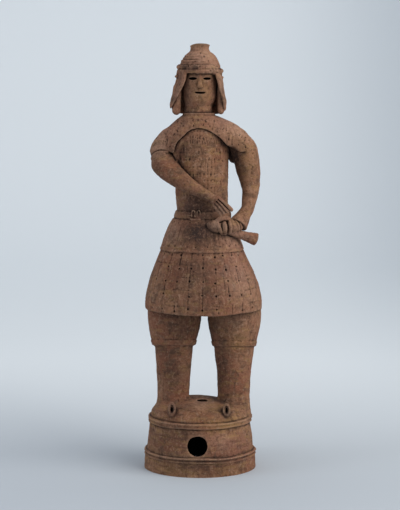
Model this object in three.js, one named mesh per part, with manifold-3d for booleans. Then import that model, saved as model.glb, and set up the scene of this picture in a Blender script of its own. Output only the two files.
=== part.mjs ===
// A haniwa: an armoured warrior in fired clay, coil-built and hollow, standing on its own drum.
// Millimetres, +Z up. The figure faces -Y and its own left hand is towards +X.
import * as THREE from "three";
import { LoftGeometry } from "three/addons/geometries/LoftGeometry.js";
import { mergeVertices } from "three/addons/utils/BufferGeometryUtils.js";
import Module from "manifold-3d";

const wasm = await Module();
wasm.setup();

// Overall heights: the drum, and the figure from the drum's crown to the cup on the helmet.
const DRUM_HEIGHT = 208;
const BODY_HEIGHT = 1042;

// Clay walls.
const DRUM_WALL = 14;
const LEG_WALL = 14;
const TRUNK_WALL = 15;
const HEAD_WALL = 12;

// The drum: its radii, the two raised bands round it, and the holes through it.
const FOOT_RADIUS = 165;
const LOWER_BAND_HEIGHT = 50;
const UPPER_BAND_HEIGHT = 149;
const BAND_WIDTH = 17;
const BAND_PROJECTION = 5;
const WALL_STEP = 5; // how far the wall steps in above the lower band
const SHOULDER_RADIUS = 151;
const SIDE_HOLE_RADIUS = 27.5;
const SIDE_HOLE_HEIGHT = 93;
const SIDE_HOLE_SHIFT = -7; // the pair of side holes stands off the drum's axis along X
const CROWN_HOLE_RADIUS = 15.5;
const CROWN_HOLE_FORWARD = 30; // how far in front of the drum's axis

// The two pierced toes on the drum's shoulder.
const TOE_RADIUS = 12.5;
const TOE_LENGTH = 20;
const TOE_HOLE_RADIUS = 4.5;
const TOE_SPACING = 161;
const TOE_SHIFT = -2.5; // the middle of the pair, along X
const TOE_DROP = 32; // from the drum's crown down to a toe's root
const TOE_INSET = 56; // from the shoulder's radius in to a toe's root

// How the body stands on the drum.
const BODY_SHIFT = 10; // the body stands this far to +X of the drum's axis

// Openings in the face.
const EYE_LENGTH = 24;
const EYE_HEIGHT = 8;
const MOUTH_LENGTH = 30;
const MOUTH_HEIGHT = 5;

// The armour's edges stand proud of what is under them.
const HEM_STEP = 5;

// Facets round each kind of piece.
const DRUM_SIDES = 32;
const TRUNK_SIDES = 26;
const HEAD_SIDES = 20;
const LEG_SIDES = 16;
const HOLLOW_SIDES = 14;
const ARM_SIDES = 10;
const SMALL_SIDES = 6;

const CLAY_COLOUR = 0x96694f;

// The body's proportions below are in thousandths of its height, measured from the drum's crown.
const unit = BODY_HEIGHT / 1000;
const bodyPoint = (x, y, z) =>
  new THREE.Vector3(BODY_SHIFT + x * unit, y * unit, DRUM_HEIGHT + z * unit);

// A closed three.js geometry as a solid that can be joined and cut.
function solid(geometry) {
  const bare = new THREE.BufferGeometry();
  bare.setAttribute("position", geometry.getAttribute("position"));
  if (geometry.index) bare.setIndex(geometry.index);
  const merged = mergeVertices(bare, 1e-3);
  return new wasm.Manifold(
    new wasm.Mesh({
      numProp: 3,
      vertProperties: new Float32Array(merged.attributes.position.array),
      triVerts: new Uint32Array(merged.index.array),
    }),
  );
}

const join = (solids) => solids.reduce((whole, next) => whole.add(next));
const cut = (whole, tools) => tools.reduce((rest, tool) => rest.subtract(tool), whole);

// An upright form through level ellipses. A row is [height, half width, half depth, x, y],
// in thousandths of the body's height, and the last two may be left out. An inset in
// millimetres makes the hollow inside such a form.
function uprightLoft(rows, sides, inset = 0) {
  const sections = rows.map(([z, width, depth, x = 0, y = 0]) =>
    Array.from({ length: sides }, (_, i) => {
      const angle = (i / sides) * 2 * Math.PI;
      const point = bodyPoint(x, y, z);
      point.x += (width * unit - inset) * Math.cos(angle);
      point.y += (depth * unit - inset) * Math.sin(angle);
      return point;
    }),
  );
  return solid(new LoftGeometry(sections, { capStart: true, capEnd: true }));
}

// A limb along a smooth line. A row is [x, y, z, half width, half thickness] in millimetres, and
// the thickness is measured towards the facing direction. Each row gives a number of steps, and a
// tip rounds off the far end by that much.
function limb(rows, sides, { steps = 1, facing = new THREE.Vector3(0, -1, 0), tip = 0 } = {}) {
  const centre = new THREE.CatmullRomCurve3(rows.map((r) => new THREE.Vector3(r[0], r[1], r[2])));
  const sizes = new THREE.CatmullRomCurve3(
    rows.map((r) => new THREE.Vector3(r[3], r[4] ?? r[3], 0)),
  );
  const count = (rows.length - 1) * steps;
  const stations = Array.from({ length: count + 1 }, (_, i) => ({ t: i / count, push: 0, shrink: 1 }));
  if (tip > 0) {
    const last = stations[count];
    for (const lift of [0.6, 0.95])
      stations.push({ ...last, push: tip * lift, shrink: Math.sqrt(1 - lift * lift) });
  }
  const sections = stations.map(({ t, push, shrink }) => {
    const along = centre.getTangent(t);
    const side = new THREE.Vector3().crossVectors(facing, along).normalize();
    const up = new THREE.Vector3().crossVectors(along, side);
    const middle = centre.getPoint(t).addScaledVector(along, push);
    const size = sizes.getPoint(t).multiplyScalar(shrink);
    return Array.from({ length: sides }, (_, i) => {
      const angle = (i / sides) * 2 * Math.PI;
      return middle
        .clone()
        .addScaledVector(side, size.x * Math.cos(angle))
        .addScaledVector(up, size.y * Math.sin(angle));
    });
  });
  return solid(new LoftGeometry(sections, { capStart: true, capEnd: true }));
}

// A limb whose rows are in thousandths of the body's height.
function bodyLimb(rows, sides, options = {}) {
  const scaled = rows.map(([x, y, z, width, thickness = width]) => {
    const p = bodyPoint(x, y, z);
    return [p.x, p.y, p.z, width * unit, thickness * unit];
  });
  const tip = (options.tip ?? 0) * unit;
  return limb(scaled, sides, { ...options, tip });
}

// A round form about the drum's axis, from [radius, height] pairs that start and end on the axis.
function turned(profile, sides) {
  const points = profile.map(([radius, height]) => new THREE.Vector2(radius, height));
  const geometry = new THREE.LatheGeometry(points, sides);
  geometry.rotateX(Math.PI / 2);
  return solid(geometry);
}

// A straight bar of an outline drawn in X and Z, running along Y between two depths.
function barAlongY(shape, front, back, curveSegments) {
  const geometry = new THREE.ExtrudeGeometry(shape, {
    depth: back - front,
    bevelEnabled: false,
    curveSegments,
  });
  geometry.rotateX(Math.PI / 2);
  geometry.translate(0, back, 0);
  return solid(geometry);
}

function ellipseShape(x, z, halfWidth, halfHeight) {
  const shape = new THREE.Shape();
  shape.absellipse(x, z, halfWidth, halfHeight, 0, 2 * Math.PI, false);
  return shape;
}

// The drum's outer profile, above the floor and away from the axis.
const lowerBandTop = LOWER_BAND_HEIGHT + BAND_WIDTH / 2;
const lowerBandFoot = LOWER_BAND_HEIGHT - BAND_WIDTH / 2;
const upperBandTop = UPPER_BAND_HEIGHT + BAND_WIDTH / 2;
const upperBandFoot = UPPER_BAND_HEIGHT - BAND_WIDTH / 2;
const bandBevel = BAND_WIDTH / 4;
const crownRise = DRUM_HEIGHT - upperBandTop;
const crownArc = (share) => [
  (SHOULDER_RADIUS - WALL_STEP) * Math.sin(share * (Math.PI / 2)),
  upperBandTop + crownRise * Math.cos(share * (Math.PI / 2)) ** 0.75,
];

function bandProfile(foot, top, radius) {
  return [
    [radius, foot],
    [radius + BAND_PROJECTION, foot + bandBevel],
    [radius + BAND_PROJECTION, top - bandBevel],
    [radius - WALL_STEP, top],
  ];
}

function drumBody() {
  return turned(
    [
      [0, 0],
      [FOOT_RADIUS, 0],
      ...bandProfile(lowerBandFoot, lowerBandTop, FOOT_RADIUS - BAND_PROJECTION / 2),
      ...bandProfile(upperBandFoot, upperBandTop, SHOULDER_RADIUS),
      ...[0.84, 0.66, 0.46, 0.24].map(crownArc),
      [0, DRUM_HEIGHT],
    ],
    DRUM_SIDES,
  );
}

function drumHollow() {
  const inside = ([radius, height]) => [radius - DRUM_WALL, height - DRUM_WALL];
  return turned(
    [
      [0, -DRUM_WALL],
      [FOOT_RADIUS - WALL_STEP - DRUM_WALL, -DRUM_WALL],
      [FOOT_RADIUS - WALL_STEP - DRUM_WALL, lowerBandTop],
      [SHOULDER_RADIUS - WALL_STEP - DRUM_WALL, upperBandTop - DRUM_WALL],
      ...[0.78, 0.4].map(crownArc).map(inside),
      [0, DRUM_HEIGHT - DRUM_WALL],
    ],
    DRUM_SIDES,
  );
}

// Two round holes face each other through the drum's wall, and one opens its crown.
function drumHoles() {
  const sideHole = ellipseShape(
    SIDE_HOLE_SHIFT,
    SIDE_HOLE_HEIGHT,
    SIDE_HOLE_RADIUS,
    SIDE_HOLE_RADIUS,
  );
  const reach = FOOT_RADIUS + BAND_PROJECTION;
  const crownHole = new THREE.CylinderGeometry(
    CROWN_HOLE_RADIUS,
    CROWN_HOLE_RADIUS,
    DRUM_WALL * 4,
    HOLLOW_SIDES,
  );
  crownHole.rotateX(Math.PI / 2);
  crownHole.translate(BODY_SHIFT / 2, -CROWN_HOLE_FORWARD, DRUM_HEIGHT);
  return [barAlongY(sideHole, -reach, reach, 9), solid(crownHole)];
}

// The legs in loose trousers, tied with a band below the knee. Each stands straight on the drum,
// from its foot's place across the body to its hip's.
const LEGS = [
  { foot: -85.4, hip: -81.6, footRadius: 46, calf: 8.5, lift: 0 },
  { foot: 85.9, hip: 88, footRadius: 45.4, calf: 12, lift: -5 },
];
const HIP_HEIGHT = 240;
const LEG_DEPTH = 1.03; // a leg's depth over its width

// A leg's outline as [height, radius] rows.
const legRows = ({ footRadius, calf, lift }) => [
  [45, footRadius + calf * 0.12],
  [95, footRadius + calf * 0.45],
  [137, footRadius + calf * 0.86],
  [151 + lift, footRadius + calf],
  [153 + lift, 63],
  [162 + lift, 65.5],
  [165 + lift, 64],
  [205, 73],
  [240, 76],
  [300, 73],
];

// A loft along a leg, from [height, radius] rows.
function alongLeg(leg, rows, sides, inset) {
  const placed = rows.map(([z, radius]) => {
    const share = THREE.MathUtils.clamp(z / HIP_HEIGHT, 0, 1);
    return [z, radius, radius * LEG_DEPTH, leg.foot + (leg.hip - leg.foot) * share];
  });
  return uprightLoft(placed, sides, inset);
}

function legLoft(leg) {
  const rooted = [(upperBandTop - DRUM_HEIGHT) / unit, leg.footRadius + 3];
  return alongLeg(leg, [rooted, ...legRows(leg)], LEG_SIDES, 0);
}

// The bore up a leg opens the drum below into the trunk above.
function legBore(leg) {
  const rows = [
    [(-2 * DRUM_WALL) / unit, leg.footRadius],
    [151 + leg.lift, leg.footRadius + leg.calf],
    [205, 73],
    [HOLLOW_FLOOR + 30, 73],
  ];
  return alongLeg(leg, rows, HOLLOW_SIDES, LEG_WALL);
}

// The skirt of lacquered plates hangs in two tiers from the belt, open below round the thighs.
const HEM_HEIGHT = 257;
const SKIRT_RECESS = 24;
const HOLLOW_FLOOR = HEM_HEIGHT + SKIRT_RECESS + 16;
const lowerTierRows = [
  [HEM_HEIGHT, 164, 156],
  [280, 165, 157],
  [314, 160, 152],
  [348, 149, 143, -1],
  [385, 134, 130, -3],
  [470, 96, 93, -4],
];
const upperTierRows = [
  [424, 115, 112, -4],
  [460, 101, 98, -4],
  [490, 88, 85, -2],
  [511, 77, 74, -1],
];

function lowerTier() {
  const recess = uprightLoft(
    [
      [HEM_HEIGHT - SKIRT_RECESS, 164, 156],
      [HEM_HEIGHT + SKIRT_RECESS, 162, 154],
    ],
    TRUNK_SIDES,
    TRUNK_WALL,
  );
  return cut(uprightLoft(lowerTierRows, TRUNK_SIDES), [recess]);
}

// The belt at the waist, and the cuirass above it.
const beltRows = [
  [513, 77, 73],
  [517, 80, 77, -1],
  [532, 79, 75, -2],
  [536, 75, 69, -4],
];
const cuirassRows = [
  [610, 74, 67, -5],
  [712, 77, 68, -5],
  [750, 76, 66, -4],
  [775, 66, 56, -4],
];

// The skirt's upper tier, the belt and the cuirass are one upright form.
function trunk() {
  const proud = HEM_STEP / unit;
  const upperTier = upperTierRows.map(([z, width, depth, x]) => [z, width + proud, depth + proud, x]);
  return uprightLoft([...upperTier, ...beltRows, ...cuirassRows], TRUNK_SIDES);
}

// One half of the bow that ties the belt in front: a loop with its end hanging.
const KNOT = [-17, -78, 524];

function bowHalf(side) {
  const [x, y, z] = KNOT;
  return bodyLimb(
    [
      [x, y, z, 4],
      [x + side * 6, y - 1, z + 8, 4],
      [x + side * 12, y, z + 3, 4],
      [x + side * 12, y - 1, z - 14, 4],
    ],
    SMALL_SIDES,
  );
}

// The shoulder cape comes down over the upper arms and is cut to an arch over the breast and back.
const capeRows = [
  [700, 151, 62, 2],
  [721, 149, 67, 1],
  [737, 137, 70],
  [754, 122, 71],
  [770, 101, 66],
  [786, 75, 57, -4],
  [797, 55, 51, -10],
];
const ARCH_TOP = 763;
const ARCH_CENTRE = -4;
const ARCH_HALF_WIDTH = 77;

function cape() {
  const whole = uprightLoft(capeRows, TRUNK_SIDES);
  const spring = ARCH_TOP - ARCH_HALF_WIDTH * 0.68;
  const left = bodyPoint(ARCH_CENTRE - ARCH_HALF_WIDTH, 0, spring);
  const right = bodyPoint(ARCH_CENTRE + ARCH_HALF_WIDTH, 0, spring);
  const foot = bodyPoint(0, 0, 640).z;
  const arch = new THREE.Shape();
  arch.moveTo(right.x, foot);
  arch.lineTo(right.x, right.z);
  arch.absellipse(
    (left.x + right.x) / 2,
    right.z,
    (right.x - left.x) / 2,
    bodyPoint(0, 0, ARCH_TOP).z - right.z,
    0,
    Math.PI,
    false,
  );
  arch.lineTo(left.x, foot);
  const collar = uprightLoft(
    [
      [790, 51, 49, -12, 2],
      [802, 49, 47, -12, 2],
    ],
    HEAD_SIDES,
  );
  return join([cut(whole, [barAlongY(arch, -100 * unit, 100 * unit, 10)]), collar]);
}

// The figure's right arm crosses to the hilt: a padded sleeve that narrows to the wrist.
function rightArm() {
  const sleeve = bodyLimb(
    [
      [-94, 0, 734, 31],
      [-113, -4, 700, 35],
      [-111, -20, 668, 35],
      [-86, -48, 640, 29.5],
      [-51, -74, 615, 23],
      [-10, -86, 592, 16.5],
      [34, -91, 568, 11.5],
    ],
    ARM_SIDES,
    { steps: 2 },
  );
  const palm = bodyLimb(
    [
      [28, -91, 571, 11.5, 9],
      [42, -93, 564, 17, 8],
      [55, -93, 557, 18, 7],
    ],
    ARM_SIDES,
    { tip: 6 },
  );
  const fingers = [
    [
      [53, -94, 571, 6.5],
      [68, -95, 558, 6.5],
      [75, -90, 540, 6],
    ],
    [
      [46, -95, 562, 5],
      [58, -96, 548, 4.8],
      [64, -91, 533, 4.5],
    ],
    [
      [41, -95, 558, 5],
      [50, -96, 543, 4.6],
      [55, -91, 529, 4.4],
    ],
    [
      [35, -94, 556, 4.6],
      [42, -95, 541, 4.4],
      [46, -90, 528, 4.2],
    ],
  ];
  return join([
    sleeve,
    palm,
    ...fingers.map((rows) => bodyLimb(rows, SMALL_SIDES, { tip: 5 })),
  ]);
}

// The figure's left arm hangs to the hip, and its cuffed hand holds the sword.
function leftArm() {
  const sleeve = bodyLimb(
    [
      [95, 0, 732, 32],
      [113.5, 2, 694, 39.5],
      [125, 5, 654, 34],
      [130.5, 6, 619, 28.5],
      [132, -4, 587, 24],
      [122, -33, 538, 18],
      [111, -48, 517, 18],
    ],
    ARM_SIDES,
    { steps: 2 },
  );
  const cuff = bodyLimb(
    [
      [113, -45, 521, 18],
      [104, -55, 506, 23],
      [96, -63, 494, 28],
      [92, -66, 489, 27],
    ],
    ARM_SIDES,
  );
  const back = bodyLimb(
    [
      [97, -62, 496, 24],
      [84, -72, 485, 25],
      [73, -79, 486, 22],
    ],
    ARM_SIDES,
    { tip: 8 },
  );
  return join([sleeve, cuff, back]);
}

// The sword lies across the left hip, from its pommel to the stub of the scabbard.
const SWORD_POMMEL = [14, -93, 499];
const SWORD_END = [142, -40, 452];
const SWORD_RADII = [
  [0, 7],
  [0.04, 14],
  [0.12, 19],
  [0.2, 17.5],
  [0.27, 12.5],
  [0.6, 12],
  [0.75, 12.5],
  [0.9, 15.5],
  [1, 18],
];
const GRIP_SHARES = [0.29, 0.38, 0.47, 0.56];

function swordPoint(share) {
  const from = bodyPoint(...SWORD_POMMEL);
  return from.lerp(bodyPoint(...SWORD_END), share);
}

function sword() {
  const rows = SWORD_RADII.map(([share, radius]) => {
    const p = swordPoint(share);
    return [p.x, p.y, p.z, radius * unit, radius * unit * 0.8];
  });
  return limb(rows, ARM_SIDES);
}

// Fingers curled round the grip, side by side along it.
function grip() {
  const along = swordPoint(1).sub(swordPoint(0)).normalize();
  const out = new THREE.Vector3(0, -1, 0).addScaledVector(along, along.y).normalize();
  const up = new THREE.Vector3().crossVectors(out, along).normalize();
  const curl = [-0.5, -0.15, 0.2, 0.55];
  const fist = limb(
    [0.24, 0.3, 0.45, 0.6, 0.66].map((share, i) => {
      const p = swordPoint(share);
      const radius = [8, 18, 20, 18, 8][i] * unit;
      return [p.x, p.y, p.z, radius * 0.85, radius];
    }),
    ARM_SIDES,
    { facing: up },
  );
  return join([
    fist,
    ...GRIP_SHARES.map((share) => {
      const rows = curl.map((turn) => {
        const angle = turn * Math.PI;
        const p = swordPoint(share)
          .addScaledVector(out, 17 * unit * Math.cos(angle))
          .addScaledVector(up, 21 * unit * Math.sin(angle));
        return [p.x, p.y, p.z, 7 * unit];
      });
      return limb(rows, SMALL_SIDES, { facing: along, tip: 6 * unit });
    }),
  ]);
}

// The head, its neck, and a plain face with a wedge of a nose.
const HEAD_X = -9.6;
const headRows = [
  [775, 44, 43],
  [815, 40, 40],
  [828, 39, 42],
  [838, 42, 47],
  [855, 46.5, 51],
  [880, 47.5, 53],
  [910, 48, 53],
  [935, 48, 52],
];

function head() {
  const skull = uprightLoft(headRows.map((row) => [...row, HEAD_X, 1]), HEAD_SIDES);
  const nose = bodyLimb(
    [
      [HEAD_X, -47, 912, 4, 4],
      [HEAD_X, -53, 895, 6, 6],
      [HEAD_X, -57, 880, 9.5, 8],
      [HEAD_X, -56, 877, 9, 5],
    ],
    SMALL_SIDES,
  );
  return join([skull, nose]);
}

function faceOpenings() {
  const front = -80 * unit;
  const back = -20 * unit;
  const eyes = [-1, 1].map((side) => {
    const p = bodyPoint(HEAD_X + side * 19.5, 0, 903);
    return barAlongY(ellipseShape(p.x, p.z, EYE_LENGTH / 2, EYE_HEIGHT / 2), front, back, 5);
  });
  const lips = bodyPoint(HEAD_X, 0, 864);
  const mouth = ellipseShape(lips.x, lips.z, MOUTH_LENGTH / 2, MOUTH_HEIGHT / 2);
  return [...eyes, barAlongY(mouth, front, back, 5)];
}

// The helmet: a riveted dome with a brow band, and a cup on top.
const helmetRows = [
  [919, 63, 65],
  [922, 66, 68],
  [929, 66.5, 68.5],
  [936, 61, 64],
  [943, 58.5, 61.5],
  [955, 52.5, 56],
  [964, 47.5, 50.5],
  [972, 40.5, 42.5],
  [979, 31, 32],
  [984, 26, 26],
  [995, 27, 27],
  [1000, 27, 27],
];
const CUP_DEPTH = 22;

function helmet() {
  const dome = uprightLoft(helmetRows.map((row) => [...row, HEAD_X, 3]), HEAD_SIDES);
  const cup = uprightLoft(
    [
      [1000 - CUP_DEPTH, 15, 15, HEAD_X, 3],
      [1000 - CUP_DEPTH / 2, 20, 20, HEAD_X, 3],
      [1002, 23.5, 23.5, HEAD_X, 3],
    ],
    ARM_SIDES,
  );
  return cut(dome, [cup]);
}

// A cheek plate hangs on each side of the helmet, a curved plate that narrows downwards.
function cheekPlate(side) {
  const rows = [
    { z: 926, centre: [49.5, -24], half: 33, thick: 6, turn: 62 },
    { z: 890, centre: [59.5, -24], half: 28, thick: 6, turn: 68 },
    { z: 855, centre: [68.5, -22], half: 21, thick: 7.5, turn: 72 },
    { z: 835, centre: [73, -21], half: 17, thick: 8.5, turn: 74 },
    { z: 823, centre: [74, -20], half: 12, thick: 7.5, turn: 74 },
    { z: 818, centre: [74, -20], half: 6, thick: 4, turn: 74 },
  ];
  const sections = rows.map(({ z, centre, half, thick, turn }) => {
    const lean = THREE.MathUtils.degToRad(turn);
    const middle = bodyPoint(HEAD_X + side * centre[0], centre[1], z);
    const wide = new THREE.Vector3(side * Math.cos(lean), Math.sin(lean), 0);
    const out = new THREE.Vector3(side * Math.sin(lean), -Math.cos(lean), 0);
    return Array.from({ length: ARM_SIDES }, (_, i) => {
      const angle = (side * i * 2 * Math.PI) / ARM_SIDES;
      return middle
        .clone()
        .addScaledVector(wide, half * unit * Math.sin(angle))
        .addScaledVector(out, thick * unit * Math.cos(angle));
    });
  });
  sections.reverse();
  return solid(new LoftGeometry(sections, { capStart: true, capEnd: true }));
}

// A roll of bound hair shows below each cheek plate.
function hairRoll(side) {
  const x = HEAD_X + side * (side < 0 ? 65 : 56);
  const radius = side < 0 ? 13.5 : 11;
  return bodyLimb(
    [
      [x, -17, 880, radius * 0.8],
      [x + side * 2, -20, 850, radius],
      [x + side * 2, -21, 812, radius],
    ],
    ARM_SIDES,
    { tip: 10 },
  );
}

// The neck guard: plates round the back of the head, flaring in three steps.
const GUARD_STEPS = 3;
const GUARD_STATIONS = 12;

function neckGuard() {
  const profile = [];
  for (let step = 0; step <= GUARD_STEPS; step += 1) {
    const z = 924 - step * 36;
    const radius = 62 + step * 7;
    if (step > 0) profile.push([radius, z]);
    if (step < GUARD_STEPS) profile.push([radius + 2, z]);
  }
  const foot = profile[profile.length - 1];
  profile.push([foot[0] - 11, foot[1]], [52, 924]);
  const fromAngle = THREE.MathUtils.degToRad(-12);
  const sweep = Math.PI - 2 * fromAngle;
  const sections = Array.from({ length: GUARD_STATIONS + 1 }, (_, i) => {
    const angle = fromAngle + (sweep * i) / GUARD_STATIONS;
    return profile.map(([radius, z]) =>
      bodyPoint(HEAD_X + radius * Math.cos(angle), 2 + radius * Math.sin(angle), z),
    );
  });
  return solid(new LoftGeometry(sections, { capStart: true, capEnd: true }));
}

// The pierced toe of each shoe, a short nozzle on the drum's shoulder.
function toeRoot(side) {
  return new THREE.Vector3(
    TOE_SHIFT + (side * TOE_SPACING) / 2,
    TOE_INSET - SHOULDER_RADIUS,
    DRUM_HEIGHT - TOE_DROP,
  );
}

// A limb out of a toe's root, from [share of the length, half width] rows.
function alongToe(side, rows, sides, tip) {
  const { x, y, z } = toeRoot(side);
  const placed = rows.map(([share, radius]) => [
    x,
    y - TOE_LENGTH * 0.8 * share,
    z + TOE_LENGTH * 0.6 * share,
    radius,
  ]);
  return limb(placed, sides, { facing: new THREE.Vector3(0, 0, 1), tip });
}

function toe(side) {
  const rows = [
    [0, TOE_RADIUS * 1.25],
    [0.55, TOE_RADIUS],
    [1, TOE_RADIUS * 0.75],
  ];
  return alongToe(side, rows, SMALL_SIDES + 2, TOE_LENGTH * 0.15);
}

function toeHole(side) {
  const rows = [
    [0.4, TOE_HOLE_RADIUS],
    [2, TOE_HOLE_RADIUS],
  ];
  return alongToe(side, rows, SMALL_SIDES, 0);
}

// The hollow inside the trunk, neck and head, all one space with the legs and the drum.
function innerHollows() {
  const tierRows = lowerTierRows.filter(([z]) => z > HOLLOW_FLOOR && z < upperTierRows[0][0]);
  const [, floorWidth, floorDepth] = tierRows[0];
  const chest = uprightLoft(
    [
      [HOLLOW_FLOOR, floorWidth, floorDepth],
      ...tierRows,
      beltRows[0],
      ...cuirassRows.slice(0, 2),
      [752, 68, 60],
    ],
    HOLLOW_SIDES + 4,
    TRUNK_WALL,
  );
  const neck = uprightLoft(
    [
      [735, 45, 45, -6, 1],
      ...headRows.slice(1, 3).map((row) => [...row, HEAD_X, 1]),
      ...headRows.slice(4).map((row) => [...row, HEAD_X, 1]),
      [952, 46, 48, HEAD_X, 2],
      [966, 34, 36, HEAD_X, 3],
    ],
    HOLLOW_SIDES,
    HEAD_WALL,
  );
  return [chest, neck, ...LEGS.map(legBore)];
}

const body = join([
  drumBody(),
  ...LEGS.map(legLoft),
  lowerTier(),
  trunk(),
  bowHalf(-1),
  bowHalf(1),
  cape(),
  rightArm(),
  leftArm(),
  sword(),
  grip(),
  head(),
  helmet(),
  neckGuard(),
  ...[-1, 1].flatMap((side) => [cheekPlate(side), hairRoll(side), toe(side)]),
]);
const figure = cut(body, [
  drumHollow(),
  ...drumHoles(),
  ...innerHollows(),
  ...faceOpenings(),
  toeHole(-1),
  toeHole(1),
]);

// The finished solid as a three.js mesh, with the origin on the floor under the middle of its box.
function meshOf(part, name, colour) {
  const { vertProperties, triVerts, numProp } = part.getMesh();
  const geometry = new THREE.BufferGeometry();
  const positions = new Float32Array((vertProperties.length / numProp) * 3);
  for (let i = 0; i < positions.length; i += 1) {
    const vertex = Math.floor(i / 3);
    positions[i] = vertProperties[vertex * numProp + (i % 3)];
  }
  geometry.setAttribute("position", new THREE.BufferAttribute(positions, 3));
  geometry.setIndex(new THREE.BufferAttribute(new Uint32Array(triVerts), 1));
  geometry.computeBoundingBox();
  const { min, max } = geometry.boundingBox;
  geometry.translate(-(min.x + max.x) / 2, -(min.y + max.y) / 2, -min.z);
  geometry.computeVertexNormals();
  const material = new THREE.MeshStandardMaterial({ color: colour, roughness: 0.9, metalness: 0 });
  const mesh = new THREE.Mesh(geometry, material);
  mesh.name = name;
  return mesh;
}

const haniwa = new THREE.Group();
haniwa.add(meshOf(figure, "haniwa_figure", CLAY_COLOUR));

export default haniwa;
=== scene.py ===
# A haniwa warrior in fired clay on its own drum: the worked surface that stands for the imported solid.
# Forms are held as distances in millimetres on an even grid, with the drum's axis at x = y = 0,
# joined as clay is, cut hollow, incised, and then turned into one mesh in the frame's metres.
import math
from collections import namedtuple

import bmesh
import bpy
import numpy as np
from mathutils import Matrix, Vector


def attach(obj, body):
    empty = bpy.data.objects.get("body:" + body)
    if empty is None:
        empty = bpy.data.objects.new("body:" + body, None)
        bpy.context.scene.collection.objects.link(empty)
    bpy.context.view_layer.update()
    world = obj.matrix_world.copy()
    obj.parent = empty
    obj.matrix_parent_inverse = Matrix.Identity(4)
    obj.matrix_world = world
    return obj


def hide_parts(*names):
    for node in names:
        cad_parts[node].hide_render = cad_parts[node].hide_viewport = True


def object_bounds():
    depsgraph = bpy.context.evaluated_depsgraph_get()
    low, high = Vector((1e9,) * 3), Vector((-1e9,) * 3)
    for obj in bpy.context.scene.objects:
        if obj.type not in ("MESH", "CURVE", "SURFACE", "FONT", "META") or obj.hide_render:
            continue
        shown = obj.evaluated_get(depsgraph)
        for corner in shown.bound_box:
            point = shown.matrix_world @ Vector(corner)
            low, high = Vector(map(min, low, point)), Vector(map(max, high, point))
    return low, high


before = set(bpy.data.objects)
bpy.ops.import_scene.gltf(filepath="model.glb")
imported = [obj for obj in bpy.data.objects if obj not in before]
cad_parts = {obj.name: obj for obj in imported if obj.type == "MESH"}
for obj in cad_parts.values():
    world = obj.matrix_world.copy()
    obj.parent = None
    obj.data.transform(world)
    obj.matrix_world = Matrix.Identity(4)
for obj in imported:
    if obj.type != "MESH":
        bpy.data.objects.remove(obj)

import openvdb

cad_low, cad_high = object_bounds()

NODE = "haniwa_figure"
MM = 0.001

# ---- overall sizes, from the frame where it gives them

DRUM_HEIGHT = 208.0
FIGURE_HEIGHT = (cad_high.z - cad_low.z) / MM
UNIT = (FIGURE_HEIGHT - DRUM_HEIGHT) / 1000
BODY_SHIFT = 10.0


def drum_axis_x():
    """The X of the drum's axis in the frame, from the ring that the solid stands on."""
    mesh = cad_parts[NODE].data
    foot = [v.co.x for v in mesh.vertices if v.co.z < cad_low.z + MM]
    return (min(foot) + max(foot)) / 2 / MM


AXIS_X = drum_axis_x()


def body_point(x, y, z):
    return np.array([BODY_SHIFT + x * UNIT, y * UNIT, DRUM_HEIGHT + z * UNIT])


# ---- camera

EYE = (AXIS_X * MM, -5.254, 1.159)
CAMERA_TILT = 5.72
PHOTO_HEIGHT = 510
FOCAL_PIXELS = 1796
SENSOR = 36.0

camera_data = bpy.data.cameras.new("camera")
camera_data.sensor_width = SENSOR
camera_data.lens = SENSOR * FOCAL_PIXELS / PHOTO_HEIGHT
camera_data.clip_end = 60.0
camera = bpy.data.objects.new("camera", camera_data)
camera.location = EYE
camera.rotation_euler = (math.radians(90 - CAMERA_TILT), 0, 0)
bpy.context.scene.collection.objects.link(camera)
bpy.context.scene.camera = camera

# ---- clay as distances on a grid

FAR = 30.0
MARGIN = 8.0
RELIEF_BAND = 6.0
FOOT_ROOM = 6.0
# what keeps the middle of a form from a division by zero
LEAST_REACH, LEAST_SLOPE = 1e-5, 1e-6
STEP = 1.8

Form = namedtuple("Form", "low high distance")


def smooth_min(a, b, blend):
    if blend <= 0:
        return np.minimum(a, b)
    share = held(0.5 + (b - a) / (2 * blend))
    return b + (a - b) * share - blend * share * (1 - share)


def smooth_max(a, b, blend):
    return -smooth_min(-a, -b, blend)


def ended(side, ends, edge):
    """A form's side closed by its ends."""
    return smooth_max(side, ends.astype(np.float32), edge)


def round_form(reach, bottom, top, distance):
    return Form([-reach, -reach, bottom], [reach, reach, top], distance)


def held(value):
    """A value held between 0 and 1."""
    return np.clip(value, 0, 1)


def oval(u, v, a, b):
    """The distance to an ellipse of half axes a and b, from places given in shares of them."""
    rho = np.sqrt(u * u + v * v) + LEAST_REACH
    return rho * (rho - 1) / (np.sqrt((u / a) ** 2 + (v / b) ** 2) + LEAST_SLOPE)


def along(at, start, direction):
    """How far places lie beyond a start, in one direction."""
    return sum((p - s) * d for p, s, d in zip(at, start, direction))


def turned(angle, here):
    """The angle from one direction to another, at most half a turn either way."""
    return (angle - here + math.pi) % (2 * math.pi) - math.pi


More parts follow.
